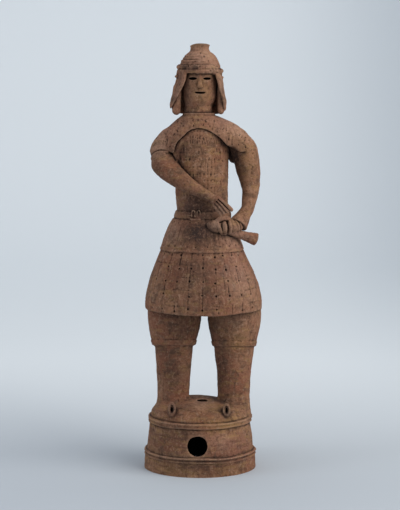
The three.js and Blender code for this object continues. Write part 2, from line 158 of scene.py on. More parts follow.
class Clay:
    def __init__(self, low, high, step):
        self.step = step
        self.low = np.array(low, float)
        count = np.ceil((np.array(high, float) - self.low) / step).astype(int) + 1
        self.axes = [(a + step * np.arange(n)).astype(np.float32) for a, n in zip(self.low, count)]
        self.field = np.full(count, FAR, np.float32)

    def window(self, low, high, margin):
        cuts = []
        for axis, a, b in zip(self.axes, low, high):
            start, stop = np.searchsorted(axis, (a - margin, b + margin))
            cuts.append(slice(max(int(start) - 1, 0), int(stop) + 1))
        x, y, z = (axis[part] for axis, part in zip(self.axes, cuts))
        return tuple(cuts), (x[:, None, None], y[None, :, None], z[None, None, :])

    def add(self, form, blend=2.0):
        cuts, at = self.window(form.low, form.high, blend + MARGIN)
        part = self.field[cuts]
        part[...] = smooth_min(part, form.distance(*at), blend)

    def cut(self, form, blend=1.5):
        cuts, at = self.window(form.low, form.high, blend + MARGIN)
        part = self.field[cuts]
        part[...] = smooth_max(part, -form.distance(*at), blend)

    def near(self, depth):
        """Places of the grid points closer to the surface than depth, and their coordinates."""
        where = np.nonzero(np.abs(self.field) < depth)
        return where, [axis[i] for axis, i in zip(self.axes, where)]


def monotone(heights, values, at):
    """A curve through values at heights that never overshoots them."""
    gap = np.diff(heights)
    rate = np.diff(values) / gap
    slope = np.zeros(len(heights))
    slope[0], slope[-1] = rate[0], rate[-1]
    if len(heights) > 2:
        before, after = rate[:-1], rate[1:]
        same = before * after > 0
        near, far = 2 * gap[1:] + gap[:-1], gap[1:] + 2 * gap[:-1]
        safe_before, safe_after = np.where(same, before, 1), np.where(same, after, 1)
        slope[1:-1] = np.where(same, (near + far) / (near / safe_before + far / safe_after), 0)
    i = np.clip(np.searchsorted(heights, at) - 1, 0, len(gap) - 1)
    t = held((at - heights[i]) / gap[i])
    return (
        (1 + 2 * t) * (1 - t) ** 2 * values[i]
        + t * (1 - t) ** 2 * gap[i] * slope[i]
        + t * t * (3 - 2 * t) * values[i + 1]
        + t * t * (t - 1) * gap[i] * slope[i + 1]
    )


def carve(distance, at, relief):
    """Raises the surface by relief(x, y, z) millimetres, worked out only close to it."""
    close = np.abs(distance) < RELIEF_BAND
    x, y, z = (np.broadcast_to(a, distance.shape)[close] for a in at)
    distance[close] -= relief(x, y, z).astype(np.float32)
    return distance


def loft(rows, edge=3.0, inset=0.0, relief=None, foot=None, crown=None, slant=0.0):
    """An upright form through level ellipses. A row is [z, half width, half depth, x, y] in
    millimetres. foot and crown give how far the lower edge is raised and the upper one lowered
    at an angle round the form, and slant how much its levels rise towards the front."""
    table = np.array([list(row) + [0.0] * (5 - len(row)) for row in rows], float)
    heights = table[:, 0]
    table[:, 1:3] -= inset
    low = [(table[:, 3] - table[:, 1]).min(), (table[:, 4] - table[:, 2]).min(), heights[0]]
    high = [(table[:, 3] + table[:, 1]).max(), (table[:, 4] + table[:, 2]).max(), heights[-1]]

    def distance(x, y, z):
        z = z + slant * (y - table[0, 4]) if slant else z
        line = z.astype(float)
        w, d, cx, cy = (monotone(heights, table[:, i], line).astype(np.float32) for i in (1, 2, 3, 4))
        rise = np.subtract(*(monotone(heights, table[:, 1], line + step) for step in (0.5, -0.5)))
        lean = (1 / np.sqrt(1 + rise**2)).astype(np.float32)
        u, v = (x - cx) / w, (y - cy) / d
        side = oval(u, v, w, d) * lean
        below, above = heights[0] - z, z - heights[-1]
        angle = np.arctan2(y - table[0, 4], x - table[0, 3]) if foot or crown else None
        if foot:
            below = below + foot(angle)
        if crown:
            above = above + crown(angle)
        ends = np.maximum(below, above)
        result = ended(side, ends, edge)
        return carve(result, (x, y, z), relief) if relief else result

    return Form(low, high, distance)


def smooth_line(rows, steps):
    """Rows along a Catmull-Rom line through the given ones."""
    rows = np.array(rows, float)
    padded = np.vstack([2 * rows[0] - rows[1], rows, 2 * rows[-1] - rows[-2]])
    out = []
    for a, b, c, d in zip(padded, padded[1:], padded[2:], padded[3:]):
        for t in np.arange(steps) / steps:
            out.append(
                0.5 * (2 * b + (c - a) * t + (2 * a - 5 * b + 4 * c - d) * t**2
                       + (3 * b - a - 3 * c + d) * t**3)
            )
    out.append(rows[-1])
    return np.array(out)


def limb(rows, steps=4, facing=(0, -1, 0), relief=None):
    """A limb along a smooth line. A row is [x, y, z, half width, half thickness] in millimetres,
    with the thickness towards the facing direction."""
    rows = [list(row) + [row[3]] * (5 - len(row)) for row in rows]
    line = smooth_line(rows, steps) if steps > 1 else np.array(rows, float)
    reach = np.maximum(line[:, 3], line[:, 4])[:, None]
    low, high = (line[:, :3] - reach).min(0), (line[:, :3] + reach).max(0)
    facing = np.array(facing, float)

    def distance(*at):
        result = None
        for a, b in zip(line[:-1], line[1:]):
            axis = b[:3] - a[:3]
            length = float(np.linalg.norm(axis))
            axis = axis / length
            side = np.cross(facing, axis)
            side /= np.linalg.norm(side)
            up = np.cross(axis, side)
            gone = along(at, a, axis)
            share = held(gone / length)
            beyond = gone - share * length
            wide = a[3] + (b[3] - a[3]) * share
            thick = a[4] + (b[4] - a[4]) * share
            if np.allclose(line[:, 3], line[:, 4]):
                flat = sum((p - s) * (p - s) for p, s in zip(at, a)) - gone * gone
                part = np.sqrt(np.maximum(flat, 0) + beyond * beyond) - wide
            else:
                least = np.minimum(wide, thick)
                u, v, w = along(at, a, side) / wide, along(at, a, up) / thick, beyond / least
                rho = np.sqrt(u * u + v * v + w * w) + LEAST_REACH
                part = rho * (rho - 1) / (
                    np.sqrt((u / wide) ** 2 + (v / thick) ** 2 + (w / least) ** 2) + LEAST_SLOPE)
            result = part if result is None else np.minimum(result, part)
        result = result.astype(np.float32)
        return carve(result, at, relief) if relief else result

    return Form(low, high, distance)


def flat_end(form, place, direction, edge=2.0):
    """A form cut off square at a place, beyond which nothing of it is left."""
    direction = np.array(direction, float) / np.linalg.norm(direction)

    def distance(*at):
        return ended(form.distance(*at), along(at, place, direction), edge)

    return Form(form.low, form.high, distance)


def body_limb(rows, steps=4, facing=(0, -1, 0), relief=None):
    """A limb whose rows are in thousandths of the body's height."""
    placed = []
    for x, y, z, wide, *thick in rows:
        placed.append([*body_point(x, y, z), wide * UNIT, (thick[0] if thick else wide) * UNIT])
    return limb(placed, steps, facing, relief)


def body_rows(rows):
    """Loft rows from thousandths of the body's height to millimetres."""
    out = []
    for z, wide, deep, *middle in rows:
        x, y = (list(middle) + [0, 0])[:2]
        cx, cy, cz = body_point(x, y, z)
        out.append([cz, wide * UNIT, deep * UNIT, cx, cy])
    return out


def body_loft(rows, centre=None, **how):
    """A loft from body rows. A centre is the y of all, and the x of those that state none."""
    if centre:
        rows = [[*row[:3], row[3] if len(row) > 3 else centre[0], centre[1]] for row in rows]
    return loft(body_rows(rows), **how)


def bar(x, z, half_width, half_height, front, back, edge=1.0):
    """A straight oval bar along Y."""
    def distance(px, py, pz):
        side = oval((px - x) / half_width, (pz - z) / half_height, half_width, half_height)
        return ended(side, np.maximum(front - py, py - back), edge)

    return Form([x - half_width, front, z - half_height], [x + half_width, back, z + half_height],
                distance)


def waves(angle, seed, height, slowest=2, fastest=9):
    """An uneven line round a form, from a few seeded waves."""
    rng = np.random.default_rng(seed)
    total = np.zeros_like(angle)
    for n in range(slowest, fastest + 1):
        swing = rng.uniform(-1, 1) / math.sqrt(n)
        total = total + swing * np.sin(n * angle + rng.uniform(0, 2 * math.pi))
    return (height * total).astype(np.float32)


LATTICE, LATTICE_SHIFT = 64, 1000.0


def between_points(values, cells, parts):
    """The values of a grid at places given by the cell that each is in and its share of the way
    through it. Beyond its end the grid starts again."""
    total = np.zeros(len(cells[0]), np.float32)
    for corner in range(8):
        steps = [(corner >> k) & 1 for k in range(3)]
        weight = np.ones(len(total), np.float32)
        for part, step in zip(parts, steps):
            weight *= part if step else 1 - part
        total += weight * values[tuple((c + s) % n for c, s, n in zip(cells, steps, values.shape))]
    return total


def noise(x, y, z, size, seed, stretch=(1, 1, 1)):
    """Smooth noise between -1 and 1, with lumps about size millimetres across."""
    values = np.random.default_rng(seed).uniform(-1, 1, (LATTICE,) * 3).astype(np.float32)
    cells, parts = [], []
    for a, s in zip((x, y, z), stretch):
        place = a / (size * s) + LATTICE_SHIFT
        cells.append(np.floor(place).astype(np.int32))
        part = (place - cells[-1]).astype(np.float32)
        parts.append(part * part * (3 - 2 * part))
    return between_points(values, cells, parts)


def groove(offset, width):
    return np.exp(-((offset / width) ** 2))


def score(clay, line, depth, width):
    """Cuts a line into the front of the clay, through places given by x and height."""
    line = np.array(line, float)
    low, high = line.min(0), line.max(0)
    front, middle = -180, -8
    cuts, (x, y, z) = clay.window((low[0], front, low[1]), (high[0], middle, high[1]), 3 * width)
    away = np.full((x.size, 1, z.size), FAR, np.float32)
    for (ax, az), (bx, bz) in zip(line[:-1], line[1:]):
        share = ((x - ax) * (bx - ax) + (z - az) * (bz - az)) / ((bx - ax) ** 2 + (bz - az) ** 2)
        share = held(share)
        away = np.minimum(away, np.hypot(x - ax - share * (bx - ax), z - az - share * (bz - az)))
    clay.field[cuts] += (depth * groove(away, width)).astype(np.float32)


def stroke(offset, half, soft):
    """One along a stroke of a half length, falling to none at its softened ends."""
    return held((half - np.abs(offset)) / soft)


def pit(reach, size):
    """One inside a round pit of a size in millimetres, and none outside it."""
    return held((size + 0.8 - reach) / 1.6)


def lines_round(angle, radius, count, loose, rng):
    """The offset in millimetres from each of an even row of lines, loosely placed round a form."""
    for k in range(count):
        yield turned(angle, k * 2 * math.pi / count + rng.uniform(-loose, loose)) * radius


# ---- the drum

FOOT_RADIUS, SHOULDER_RADIUS, DRUM_WALL = 165.0, 151.0, 14.0
LOWER_BAND_HEIGHT, UPPER_BAND_HEIGHT, BAND_WIDTH = 50.0, 149.0, 17.5
WALL_STEP, BAND_PROJECTION = 5.0, 6.0
CROWN_FOOT = UPPER_BAND_HEIGHT + 8.5
CROWN_RADIUS = SHOULDER_RADIUS - WALL_STEP
CROWN_TILT, CROWN_POWER = 0.035, 2.667


def drum_wall(inset, top, bottom):
    """The drum's upright wall, from the foot to the shoulder."""
    rows = [[-DRUM_WALL * 2, FOOT_RADIUS], [0, FOOT_RADIUS], [42, 163.0], [59, 158.0],
            [100, 153.5], [141, 148.5], [CROWN_FOOT, CROWN_RADIUS]]
    table = np.array(rows) - [0, inset]

    def distance(x, y, z):
        radius = monotone(table[:, 0], table[:, 1], z.ravel().astype(float)).astype(np.float32)
        side = np.hypot(x, y) - radius
        return ended(side, np.maximum(bottom - z, z - top), 2.5)

    return round_form(FOOT_RADIUS - inset, bottom, top, distance)


def drum_crown(inset, bottom):
    """The drum's domed crown, a little lower towards +X."""
    radius = CROWN_RADIUS - inset
    rise = DRUM_HEIGHT - CROWN_FOOT

    def distance(x, y, z):
        lift = z + CROWN_TILT * np.maximum(x, -30) - (CROWN_FOOT - inset)
        u = np.hypot(x, y) / radius
        v = np.maximum(lift, 0) / rise
        value = u * u + v**CROWN_POWER - 1
        grad = np.sqrt((2 * u / radius) ** 2 + (CROWN_POWER * v ** (CROWN_POWER - 1) / rise) ** 2)
        return ended(value / np.maximum(grad, 0.006), bottom - z, 2.0)

    return round_form(radius, bottom, DRUM_HEIGHT + 2 - inset, distance)


def drum_band(height, radius, seed, split):
    """A raised band, pinched unevenly between the fingers, with a sharp upper lip and a groove
    under it, as deep as split says."""
    def distance(x, y, z):
        angle = np.arctan2(y, x)
        level = height + waves(angle, seed, 0.9)
        half = BAND_WIDTH / 2 * (1 + waves(angle, seed + 1, 0.06))
        out = BAND_PROJECTION + waves(angle, seed + 2, 0.5, 3, 14)
        r = np.hypot(x, y) - radius
        v = (z - level) / half
        body = 1 - split + split * groove(v - 0.60, 0.27) + (split - 0.16) * groove(v + 0.62, 0.24)
        lip = out * body * np.sqrt(held(1 - np.abs(v) ** 6))
        return ended((r - lip) * 0.8, np.abs(z - level) - half, 1.8)

    return round_form(radius + BAND_PROJECTION + 3, height - BAND_WIDTH, height + BAND_WIDTH, distance)


SIDE_HOLE = (-7.0, 91.5, 28.6)
CROWN_HOLE = (5.0, -30.0, 15.5)


def side_hole():
    """The hole through the drum's front and back, a little wider inwards."""
    x, z, radius = SIDE_HOLE

    def distance(px, py, pz):
        wider = 0.25 * np.maximum(155 - np.abs(py), 0)
        ragged = waves(np.arctan2(pz - z, px - x), 6, 0.3)
        return (np.hypot(px - x, pz - z) - radius - np.minimum(wider, 5) - ragged).astype(np.float32)

    reach = radius + 6
    return Form([x - reach, -190, z - reach], [x + reach, 190, z + reach], distance)


def crown_hole():
    x, y, radius = CROWN_HOLE

    def distance(px, py, pz):
        wider = 0.9 * np.maximum(DRUM_HEIGHT - 2 - pz, 0)
        ragged = waves(np.arctan2(py - y, px - x), 5, 0.7)
        side = np.hypot(px - x, (py - y) * 1.04) - radius - wider - ragged
        return ended(side, 178 - pz, 1.0)

    reach = radius + 45
    return Form([x - reach, y - reach, 150], [x + reach, y + reach, 225], distance)


# ---- toes

TOE_SHIFT, TOE_SPACING, TOE_TILT = -2.5, 159.0, 24.0


def toe(side, half_width, half_height, start, stop, edge):
    """An upright oval toe, or the hole in it, that points forward and a little up."""
    lean = math.radians(TOE_TILT)
    x0, y0, z0 = TOE_SHIFT + side * TOE_SPACING / 2, -104.0, 190.0 - max(side, 0) * 2.5

    def distance(x, y, z):
        out = -(y - y0) * math.cos(lean) + (z - z0) * math.sin(lean)
        up = (y - y0) * math.sin(lean) + (z - z0) * math.cos(lean)
        body = oval((x - x0) / half_width, up / half_height, half_width, half_height)
        return ended(body, np.maximum(start - out, out - stop), edge)

    return Form([x0 - 30, y0 - 35, z0 - 35], [x0 + 30, y0 + 30, z0 + 35], distance)


# ---- legs

LEG_WALL = 14.0
LEGS = [
    dict(foot=-85.4, hip=-81.6, foot_radius=46.0, calf=8.5, lift=0.0, side=-1),
    dict(foot=85.9, hip=88.0, foot_radius=45.4, calf=12.0, lift=-3.5, side=1),
]
HIP_HEIGHT, LEG_DEPTH, TIE_SLANT = 240.0, 1.03, 0.13


def along_leg(leg, rows):
    placed = []
    for z, radius in rows:
        share = min(max(z / HIP_HEIGHT, 0), 1)
        middle = leg["foot"] + (leg["hip"] - leg["foot"]) * share
        placed.append([z, radius, radius * LEG_DEPTH, middle])
    return body_rows(placed)


def shin_rows(leg):
    r, calf, lift = leg["foot_radius"], leg["calf"], leg["lift"]
    return [[-46, r + 4], [-14, r + 2.0], [10, r], [45, r + calf * 0.12], [95, r + calf * 0.45],
            [137, r + calf * 0.86], [158 + lift, r + calf]]


def thigh_rows(leg):
    lift = leg["lift"]
    return [[148 + lift, 56], [155 + lift, 59.5], [163 + lift, 62.5], [182, 68.5], [205, 73],
            [240, 76], [300, 73]]


def tie_rows(leg):
    rows = [[151, 58.5], [152.5, 61.8], [157, 63.4], [162, 65.0], [165, 65.2], [166.5, 63.5]]
    return [[z + leg["lift"], radius] for z, radius in rows]


def trouser_relief(x, y, z):
    """The upright strokes of a smoothing tool, a few scratches and the edges of coils."""
    strokes = noise(x, y, z, 7, 75, (1, 1, 7))
    coils = np.exp(-((noise(x, y, z, 30, 76, (4, 4, 0.5)) / 0.10) ** 2))
    return 0.45 * strokes - 0.35 * coils


# ---- skirt, belt and cuirass

HEM_STEP = 5.0
LOWER_TIER = [[257, 165.5, 157], [280, 164.8, 156.8], [314, 158.8, 151.5], [348, 148.6, 143, -1],
              [385, 134, 130, -3], [428, 115, 112, -4]]
UPPER_TIER = [[424, 115, 112, -4], [460, 102, 98.5, -4.6], [490, 90, 86.5, -3.3], [516, 76.5, 73, -2.4]]
BELT = [[513, 79, 75, -1], [517, 81.5, 78, -1.8], [530, 78, 74.6, -2], [535, 74, 69, -3]]
CUIRASS = [[505, 70, 66, -1], [536, 72.4, 67.6, -2.6], [610, 74, 67, -5], [712, 77, 68, -5],
           [750, 76, 66, -4], [775, 66, 56, -4]]
BOW_LOOP = [(-4.6, -75.8, 522), (-4.6, -73.5, 532), (-2, -70, 538), (2, -70, 538), (4.6, -73.5, 532),
            (4.6, -76, 522)]
BOW_TAIL = [[-32, -74, 524, 2.4], [-39, -72.5, 526, 2.3], [-46, -70.5, 524, 1.9]]
BOW_KNOT = [[-36, -73.5, 514.5, 3.2, 3], [-24, -76.2, 513.5, 3.2, 3], [-10, -77.5, 514, 3.2, 3]]
TRUNK_WALL = 15.0
COLUMNS, FIRST_COLUMN = 24, -91.5
HOLE_ROWS = (488.0, 529.0, 567.0, 605.0, 641.0)
LINE_ABOVE_HOLES = 13
TIER_MIDDLE, TIER_HALF = 560, 90
BELT_LINE, BELT_DOTS = 742.5, 734.0
CUIRASS_RADIUS, PLATE_COUNT, PLATE_BREADTH = 77.0, 43, 11.4
LACING_ROWS, LACED_BREADTH = ((979, 60), (966, 60), (940, 40), (915, 30), (870, 26)), 480.0


def skirt_relief(x, y, z):
    """Upright seams between the skirt's plates, faint level lines, and rows of lacing holes."""
    rng = np.random.default_rng(41)
    angle = np.arctan2(y, x - BODY_SHIFT)
    radius = np.hypot(x - BODY_SHIFT, y)
    total = np.zeros_like(x)
    turn = 2 * math.pi / COLUMNS
    for column in range(COLUMNS):
        middle = math.radians(FIRST_COLUMN) + (column + rng.uniform(-0.06, 0.06)) * turn
        sway = rng.uniform(-0.06, 0.06) * turn
        offset = turned(angle, middle + sway * (z - TIER_MIDDLE) / TIER_HALF) * radius
        broken = np.clip(0.75 + 1.2 * noise(x, y, z, 26, 81), 0.15, 1.3)
        total -= rng.uniform(1.3, 2.1) * groove(offset, rng.uniform(1.7, 2.3)) * broken
        for side in (-1, 1):
            gap, start = rng.uniform(4, 11), rng.uniform(470, 610)
            length = rng.uniform(18, 70)
            drawn = stroke(z - start, length / 2, 4)
            total -= rng.uniform(0.7, 1.5) * groove(offset - side * gap, 1.6) * drawn
        for row in HOLE_ROWS:
            missing = rng.random() < 0.10
            sideways, up = rng.uniform(-3.0, 3.0), rng.uniform(-4.0, 4.0)
            size = rng.uniform(1.9, 2.9)
            if not missing:
                total -= 6.5 * pit(np.hypot(offset - sideways, z - row - up), size)
    for row in HOLE_ROWS:
        level = row + LINE_ABOVE_HOLES + waves(angle, int(row), 2.5)
        total -= 1.3 * groove(z - level, 1.7) * held(0.4 + 1.6 * noise(x, y, z, 40, 82))
    return total + 0.35 * noise(x, y, z, 6, 83, (1, 1, 3))


def upper_tier_relief(x, y, z):
    """Lines under the belt and above the hem, with lacing dots by each, and upright strokes."""
    rng = np.random.default_rng(43)
    angle = np.arctan2(y, x - BODY_SHIFT + 4)
    radius = np.hypot(x - BODY_SHIFT + 4, y)
    foot = DRUM_HEIGHT + UPPER_TIER[0][0] * UNIT
    total = -0.9 * groove(z - foot - 9 - waves(angle, 44, 1.0), 1.6)
    total -= 1.6 * groove(z - BELT_LINE - waves(angle, 45, 0.6), 1.8)
    for across in lines_round(angle, radius, 26, 0.07, rng):
        up = z - BELT_DOTS - rng.uniform(-2.5, 1.5)
        total -= 2.2 * pit(np.hypot(across, up), rng.uniform(1.4, 2.4))
    for across in lines_round(angle, radius, 22, 0.05, rng):
        total -= 2.5 * pit(np.hypot(across, z - foot - 16 - rng.uniform(-2, 2)), 2.2)
    for across in lines_round(angle, radius, 44, 0.05, rng):
        total -= rng.uniform(0.6, 1.5) * groove(across, 1.7) * held((z - foot - 20) / 6)
    return total + 0.35 * noise(x, y, z, 6, 84)


def belt_relief(x, y, z):
    """The belt's worn and lumpy surface."""
    return 0.7 * noise(x, y, z, 9, 94) + 0.4 * noise(x, y, z, 4.5, 95)


def cuirass_relief(x, y, z):
    """The cuirass's plates: a worn grid, with short strokes of lacing in loose rows."""
    rng = np.random.default_rng(47)
    middle = BODY_SHIFT - 5
    angle = np.arctan2(y, x - middle)
    around = angle * CUIRASS_RADIUS
    total = np.zeros_like(x)
    worn = np.clip(0.6 + 1.3 * noise(x, y, z, 30, 85), 0.1, 1.4)
    for level in np.arange(772, 1000, 20.5):
        total -= 0.65 * groove(z - level - waves(angle, int(level), 1.4), 1.6) * worn
    for k in range(PLATE_COUNT):
        here = (k - PLATE_COUNT // 2) * PLATE_BREADTH + rng.uniform(-1.5, 1.5)
        total -= rng.uniform(0.45, 1.1) * groove(around - here, 1.6) * worn
    for level, count in LACING_ROWS:
        for k in range(count):
            here = (k - count / 2) * LACED_BREADTH / count + rng.uniform(-2.5, 2.5)
            length, lean = rng.uniform(3, 8), rng.uniform(-0.25, 0.25)
            up = z - level - rng.uniform(-4, 4)
            drawn = stroke(up, length, 2)
            total -= rng.uniform(0.9, 2.0) * groove(around - here - lean * up, 1.5) * drawn
    return total + 0.4 * noise(x, y, z, 5, 86)


# ---- cape

CAPE = [[698, 151.5, 62, 1], [709, 149.5, 64.5, 1], [721, 144.5, 67, 1], [731, 138.5, 69],
        [741, 130, 70], [754, 118.5, 71], [770, 99, 66], [786, 75, 57, -5], [799, 52, 49, -12],
        [802.5, 46, 45, -13], [804, 46.5, 45.5, -13], [808, 45.5, 45, -13]]
CAPE_HEM = [  # x and height in millimetres: the arch over the breast and the hem over each sleeve
    [-175, 922], [-84, 922], [-79, 928], [-75, 938], [-72, 950], [-69, 960], [-63, 969], [-56, 976],
    [-46, 984.5], [-35, 995.5], [-23, 1003], [-3, 1006], [17, 1003], [29, 998], [43, 990], [52, 984],
    [61, 976.5], [69, 967], [78, 958], [92, 949.5], [104, 943], [121, 936], [140, 936], [175, 939]]


def cape_relief(x, y, z):
    """Lacing strokes and dots on the shoulders, the seam of the sleeve and a worn surface."""
    rng = np.random.default_rng(53)
    total = 0.4 * noise(x, y, z, 6, 87) + 0.3 * noise(x, y, z, 12, 88)
    for k in range(300):
        px, pz = rng.uniform(-150, 160), rng.uniform(940, 1035)
        lean, length = rng.uniform(-0.9, 0.9), rng.uniform(1.0, 5.0)
        depth, side = rng.uniform(0.8, 2.4), rng.choice([-1, 1])
        up = (z - pz) * math.cos(lean) + (x - px) * math.sin(lean)
        across = (x - px) * math.cos(lean) - (z - pz) * math.sin(lean)
        total -= depth * groove(across, 1.5) * stroke(up, length, 1.5) * (y * side > 5)
    for px, pz, length in ((-95, 972, 12), (-107, 962, 5), (83, 978, 6), (92, 962, 7), (111, 959, 4)):
        total -= 1.8 * groove(x - px, 1.6) * stroke(z - pz, length, 2) * (y < -5)
    return total


def cape():
    """The cape and its sleeves, cut off along a hem that is seen from the front."""
    whole = body_loft(CAPE, edge=3.0, relief=cape_relief)
    across, height = np.array(CAPE_HEM, float).T

    def distance(x, y, z):
        left, hem, right = (monotone(across, height, x.astype(float) + step) for step in (-2, 0, 2))
        slope = (right - left) / 4
        below = (hem + waves(x / 40, 61, 0.6, 3) - z) / np.sqrt(1 + slope**2)
        return ended(whole.distance(x, y, z), below, 2.0)

    return Form(whole.low, whole.high, distance)


# ---- arms, hands and sword

RIGHT_SLEEVE = [[-94, 0, 734, 31], [-113, -4, 700, 34], [-111, -18, 672, 33.5]]
RIGHT_FOREARM = [[-112, -16, 664, 33], [-109, -25, 663, 34.5], [-86, -48, 640, 30], [-51, -74, 615, 23],
                 [-10, -86, 592, 16.5], [14, -89, 580, 13]]
RIGHT_PALM = [[8, -88, 583, 12, 10], [24, -91, 574, 13, 9], [38, -92, 566, 13.5, 7.5],
              [44, -92, 562, 12, 6.5]]
RIGHT_FINGERS = [
    [[43, -93, 573, 5.4], [53, -98, 564, 5.8], [66, -99, 553, 5.6], [77, -94, 543, 5.2]],
    [[38, -93, 569, 4.8], [48, -99, 560, 5.0], [57, -100, 549, 4.7], [65.5, -95, 537, 4.4]],
    [[33, -93, 563, 4.5], [41, -98, 554, 4.7], [49, -99, 543.5, 4.5], [56.5, -94, 533, 4.2]],
    [[29, -92, 555, 4.2], [36, -96, 545, 4.5], [43, -96, 536, 4.3], [49, -91, 527, 4.0]],
]
LEFT_SLEEVE = [[95, 0, 732, 32], [116, 2, 694, 37], [125, 5, 654, 34], [130.5, 6, 619, 28.5],
               [132, -4, 587, 24], [123.5, -30, 541, 18], [119, -36, 532, 18]]
LEFT_CUFF = [[123, -31, 540, 18.6], [115, -40, 527, 19.2], [106, -48, 512, 22.5], [98, -55, 500, 26.5],
             [90, -62, 489, 30]]
LEFT_CUFF_END = [96.5, -56.5, 497.5]
LEFT_BACK = [[104, -51, 508, 17], [92, -62, 497, 19], [80, -68, 494, 19.5], [70, -70, 495, 19]]
FIST = [[47, -69, 500, 17, 14], [58, -72, 497, 21, 16], [74, -70, 495, 21, 17]]
FIST_FINGERS = [
    [[70, -80, 516, 6.0], [60, -88, 519, 6.6], [48, -92, 518, 6.8], [40, -90, 513, 6.2]],
    [[38, -84, 512, 5.2], [38.5, -93, 504, 5.4], [43, -96, 493, 5.4], [49, -92, 482, 5.2],
     [52, -84, 476, 4.6]],
    [[58, -88, 506, 5.4], [59, -96, 500, 6.3], [60, -96, 489, 6.4], [60, -87, 477, 5.6]],
    [[72, -85, 511, 5.0], [74, -92, 503, 5.7], [75.5, -91, 491, 5.8], [74, -83, 479, 5.2]],
]
ARMPIT_WEB = [[78, 18, 962, 20], [94, 17, 932, 17], [97, 15, 914, 12]]
ARMPIT = [[88, -64, 948, 6], [97, -44, 936, 12], [101, -29, 912, 11]]
ARCH_FILL = [[-42, -48, 978, 10], [-52, -43, 967, 12], [-60, -38.5, 953, 13], [-66, -34, 935, 13],
             [-68, -28, 910, 12]]
# lines scored on the front, by x and height in millimetres, with their depths and widths
SCORES = [
    ([[-144, 922], [-138, 932], [-131, 938], [-120, 942], [-110, 943], [-100, 942], [-90, 938.5],
      [-82, 932], [-76, 923], [-71, 913]], 2.6, 2.1),
    ([[-78, 955], [-73, 965], [-64, 976], [-52, 987], [-41, 997]], 1.0, 1.8),
    ([[-74, 940], [-71, 951], [-68, 960], [-62, 969], [-55, 976.5], [-45, 985], [-35, 995]], 1.3, 1.7),
    ([[122, 937], [140, 940], [160, 942]], 1.0, 1.8),
]
SWORD_POMMEL, SWORD_END = [14, -93, 502], [147.5, -40, 455]
SWORD_RADII = [[0, 5.5], [0.025, 9], [0.07, 13.5], [0.125, 17.5], [0.16, 18.6], [0.185, 17],
               [0.21, 12.5], [0.6, 12], [0.75, 13], [0.9, 16], [1, 18.3]]


def sword_point(share):
    return body_point(*SWORD_POMMEL) * (1 - share) + body_point(*SWORD_END) * share


SWORD_LINE = (sword_point(1) - sword_point(0)) / np.linalg.norm(sword_point(1) - sword_point(0))


def sword():
    """The sword's pommel, grip and scabbard, square at its end, with shallow rings round it."""
    def rings(*at):
        gone = along(at, sword_point(0), SWORD_LINE)
        return -0.9 * sum(groove(gone - place, 1.4) for place in (24.5, 128.0, 141.0))

    rows = [[*sword_point(share), radius * UNIT, radius * UNIT * 0.8] for share, radius in SWORD_RADII]
    return flat_end(limb(rows, steps=3, relief=rings), sword_point(1), SWORD_LINE, 2.5)


def sleeve_relief(x, y, z):
    """Small dents and the marks of the fingers that pressed the sleeves into shape."""
    dents = held(noise(x, y, z, 9, 89) - 0.45)
    return 0.4 * noise(x, y, z, 6, 90) + 0.4 * noise(x, y, z, 14, 91) - 2.2 * dents


def finger_gaps():
    """What is pressed out between the right hand's fingers."""
    gaps = []
    for a, b in zip(RIGHT_FINGERS, RIGHT_FINGERS[1:]):
        rows = [[(p[0] + q[0]) / 2, min(p[1], q[1]) - 4.5, (p[2] + q[2]) / 2, 1.9]
                for p, q in zip(a, b)]
        gaps.append(body_limb(rows[:1] + [[r[0], r[1] + 1.5, r[2], 2.4] for r in rows[1:]]))
    return gaps


def left_cuff():
    """The gauntlet's flare, square at its rim."""
    end, start = body_point(*LEFT_CUFF_END), body_point(*LEFT_CUFF[0][:3])
    return flat_end(body_limb(LEFT_CUFF), end, end - start, 1.5)


def hand_ridges(*at):
    """Ridges across the back of the left hand, where the gauntlet's folds are."""
    start, end = body_point(*LEFT_BACK[0][:3]), body_point(*LEFT_BACK[-1][:3])
    gone = along(at, start, (end - start) / np.linalg.norm(end - start))
    return sum(1.6 * groove(gone - place, 1.8) - 1.0 * groove(gone - place - 4, 1.8)
               for place in (14.5, 23.0))


# ---- head and helmet

HEAD_X, HEAD_WALL = -9.6, 12.0
HEAD = [[775, 44, 43, -14.5], [815, 39.5, 40, -14.5], [828, 39, 42, -14], [838, 42, 47, -12],
        [855, 46.5, 51, -10], [880, 47.8, 53.5, HEAD_X], [910, 48, 53.5, HEAD_X], [935, 48, 52, HEAD_X]]
NOSE = [[HEAD_X, -48, 914, 3.4, 4], [HEAD_X, -53, 900, 4.6, 6], [HEAD_X, -58, 886, 7.4, 7.5],
        [HEAD_X, -57, 881.5, 8.2, 5]]
DOME = [[918, 54, 57], [936, 57, 60.5], [944, 54.6, 58], [955, 50.4, 54], [966, 42.8, 46],
        [971, 38.5, 40.5], [975, 33, 34], [979, 28, 28.5], [984, 25.6, 25.6]]
BROW = [[907, 60, 63], [914, 61.5, 65], [921, 62.5, 67], [926, 62.3, 67.2], [934, 61.5, 66.5],
        [941.5, 59.5, 64.5]]
BROW_LIFT = 10.5
STRIP_RIDGE, STRIP_GROOVE, SEAM_FOOT, DENT_LEVEL = 1171, 1176.5, 1177, 1183.5
BROW_MM_PER_DEGREE = 1.15
PLATE_SQUARENESS = 2.6
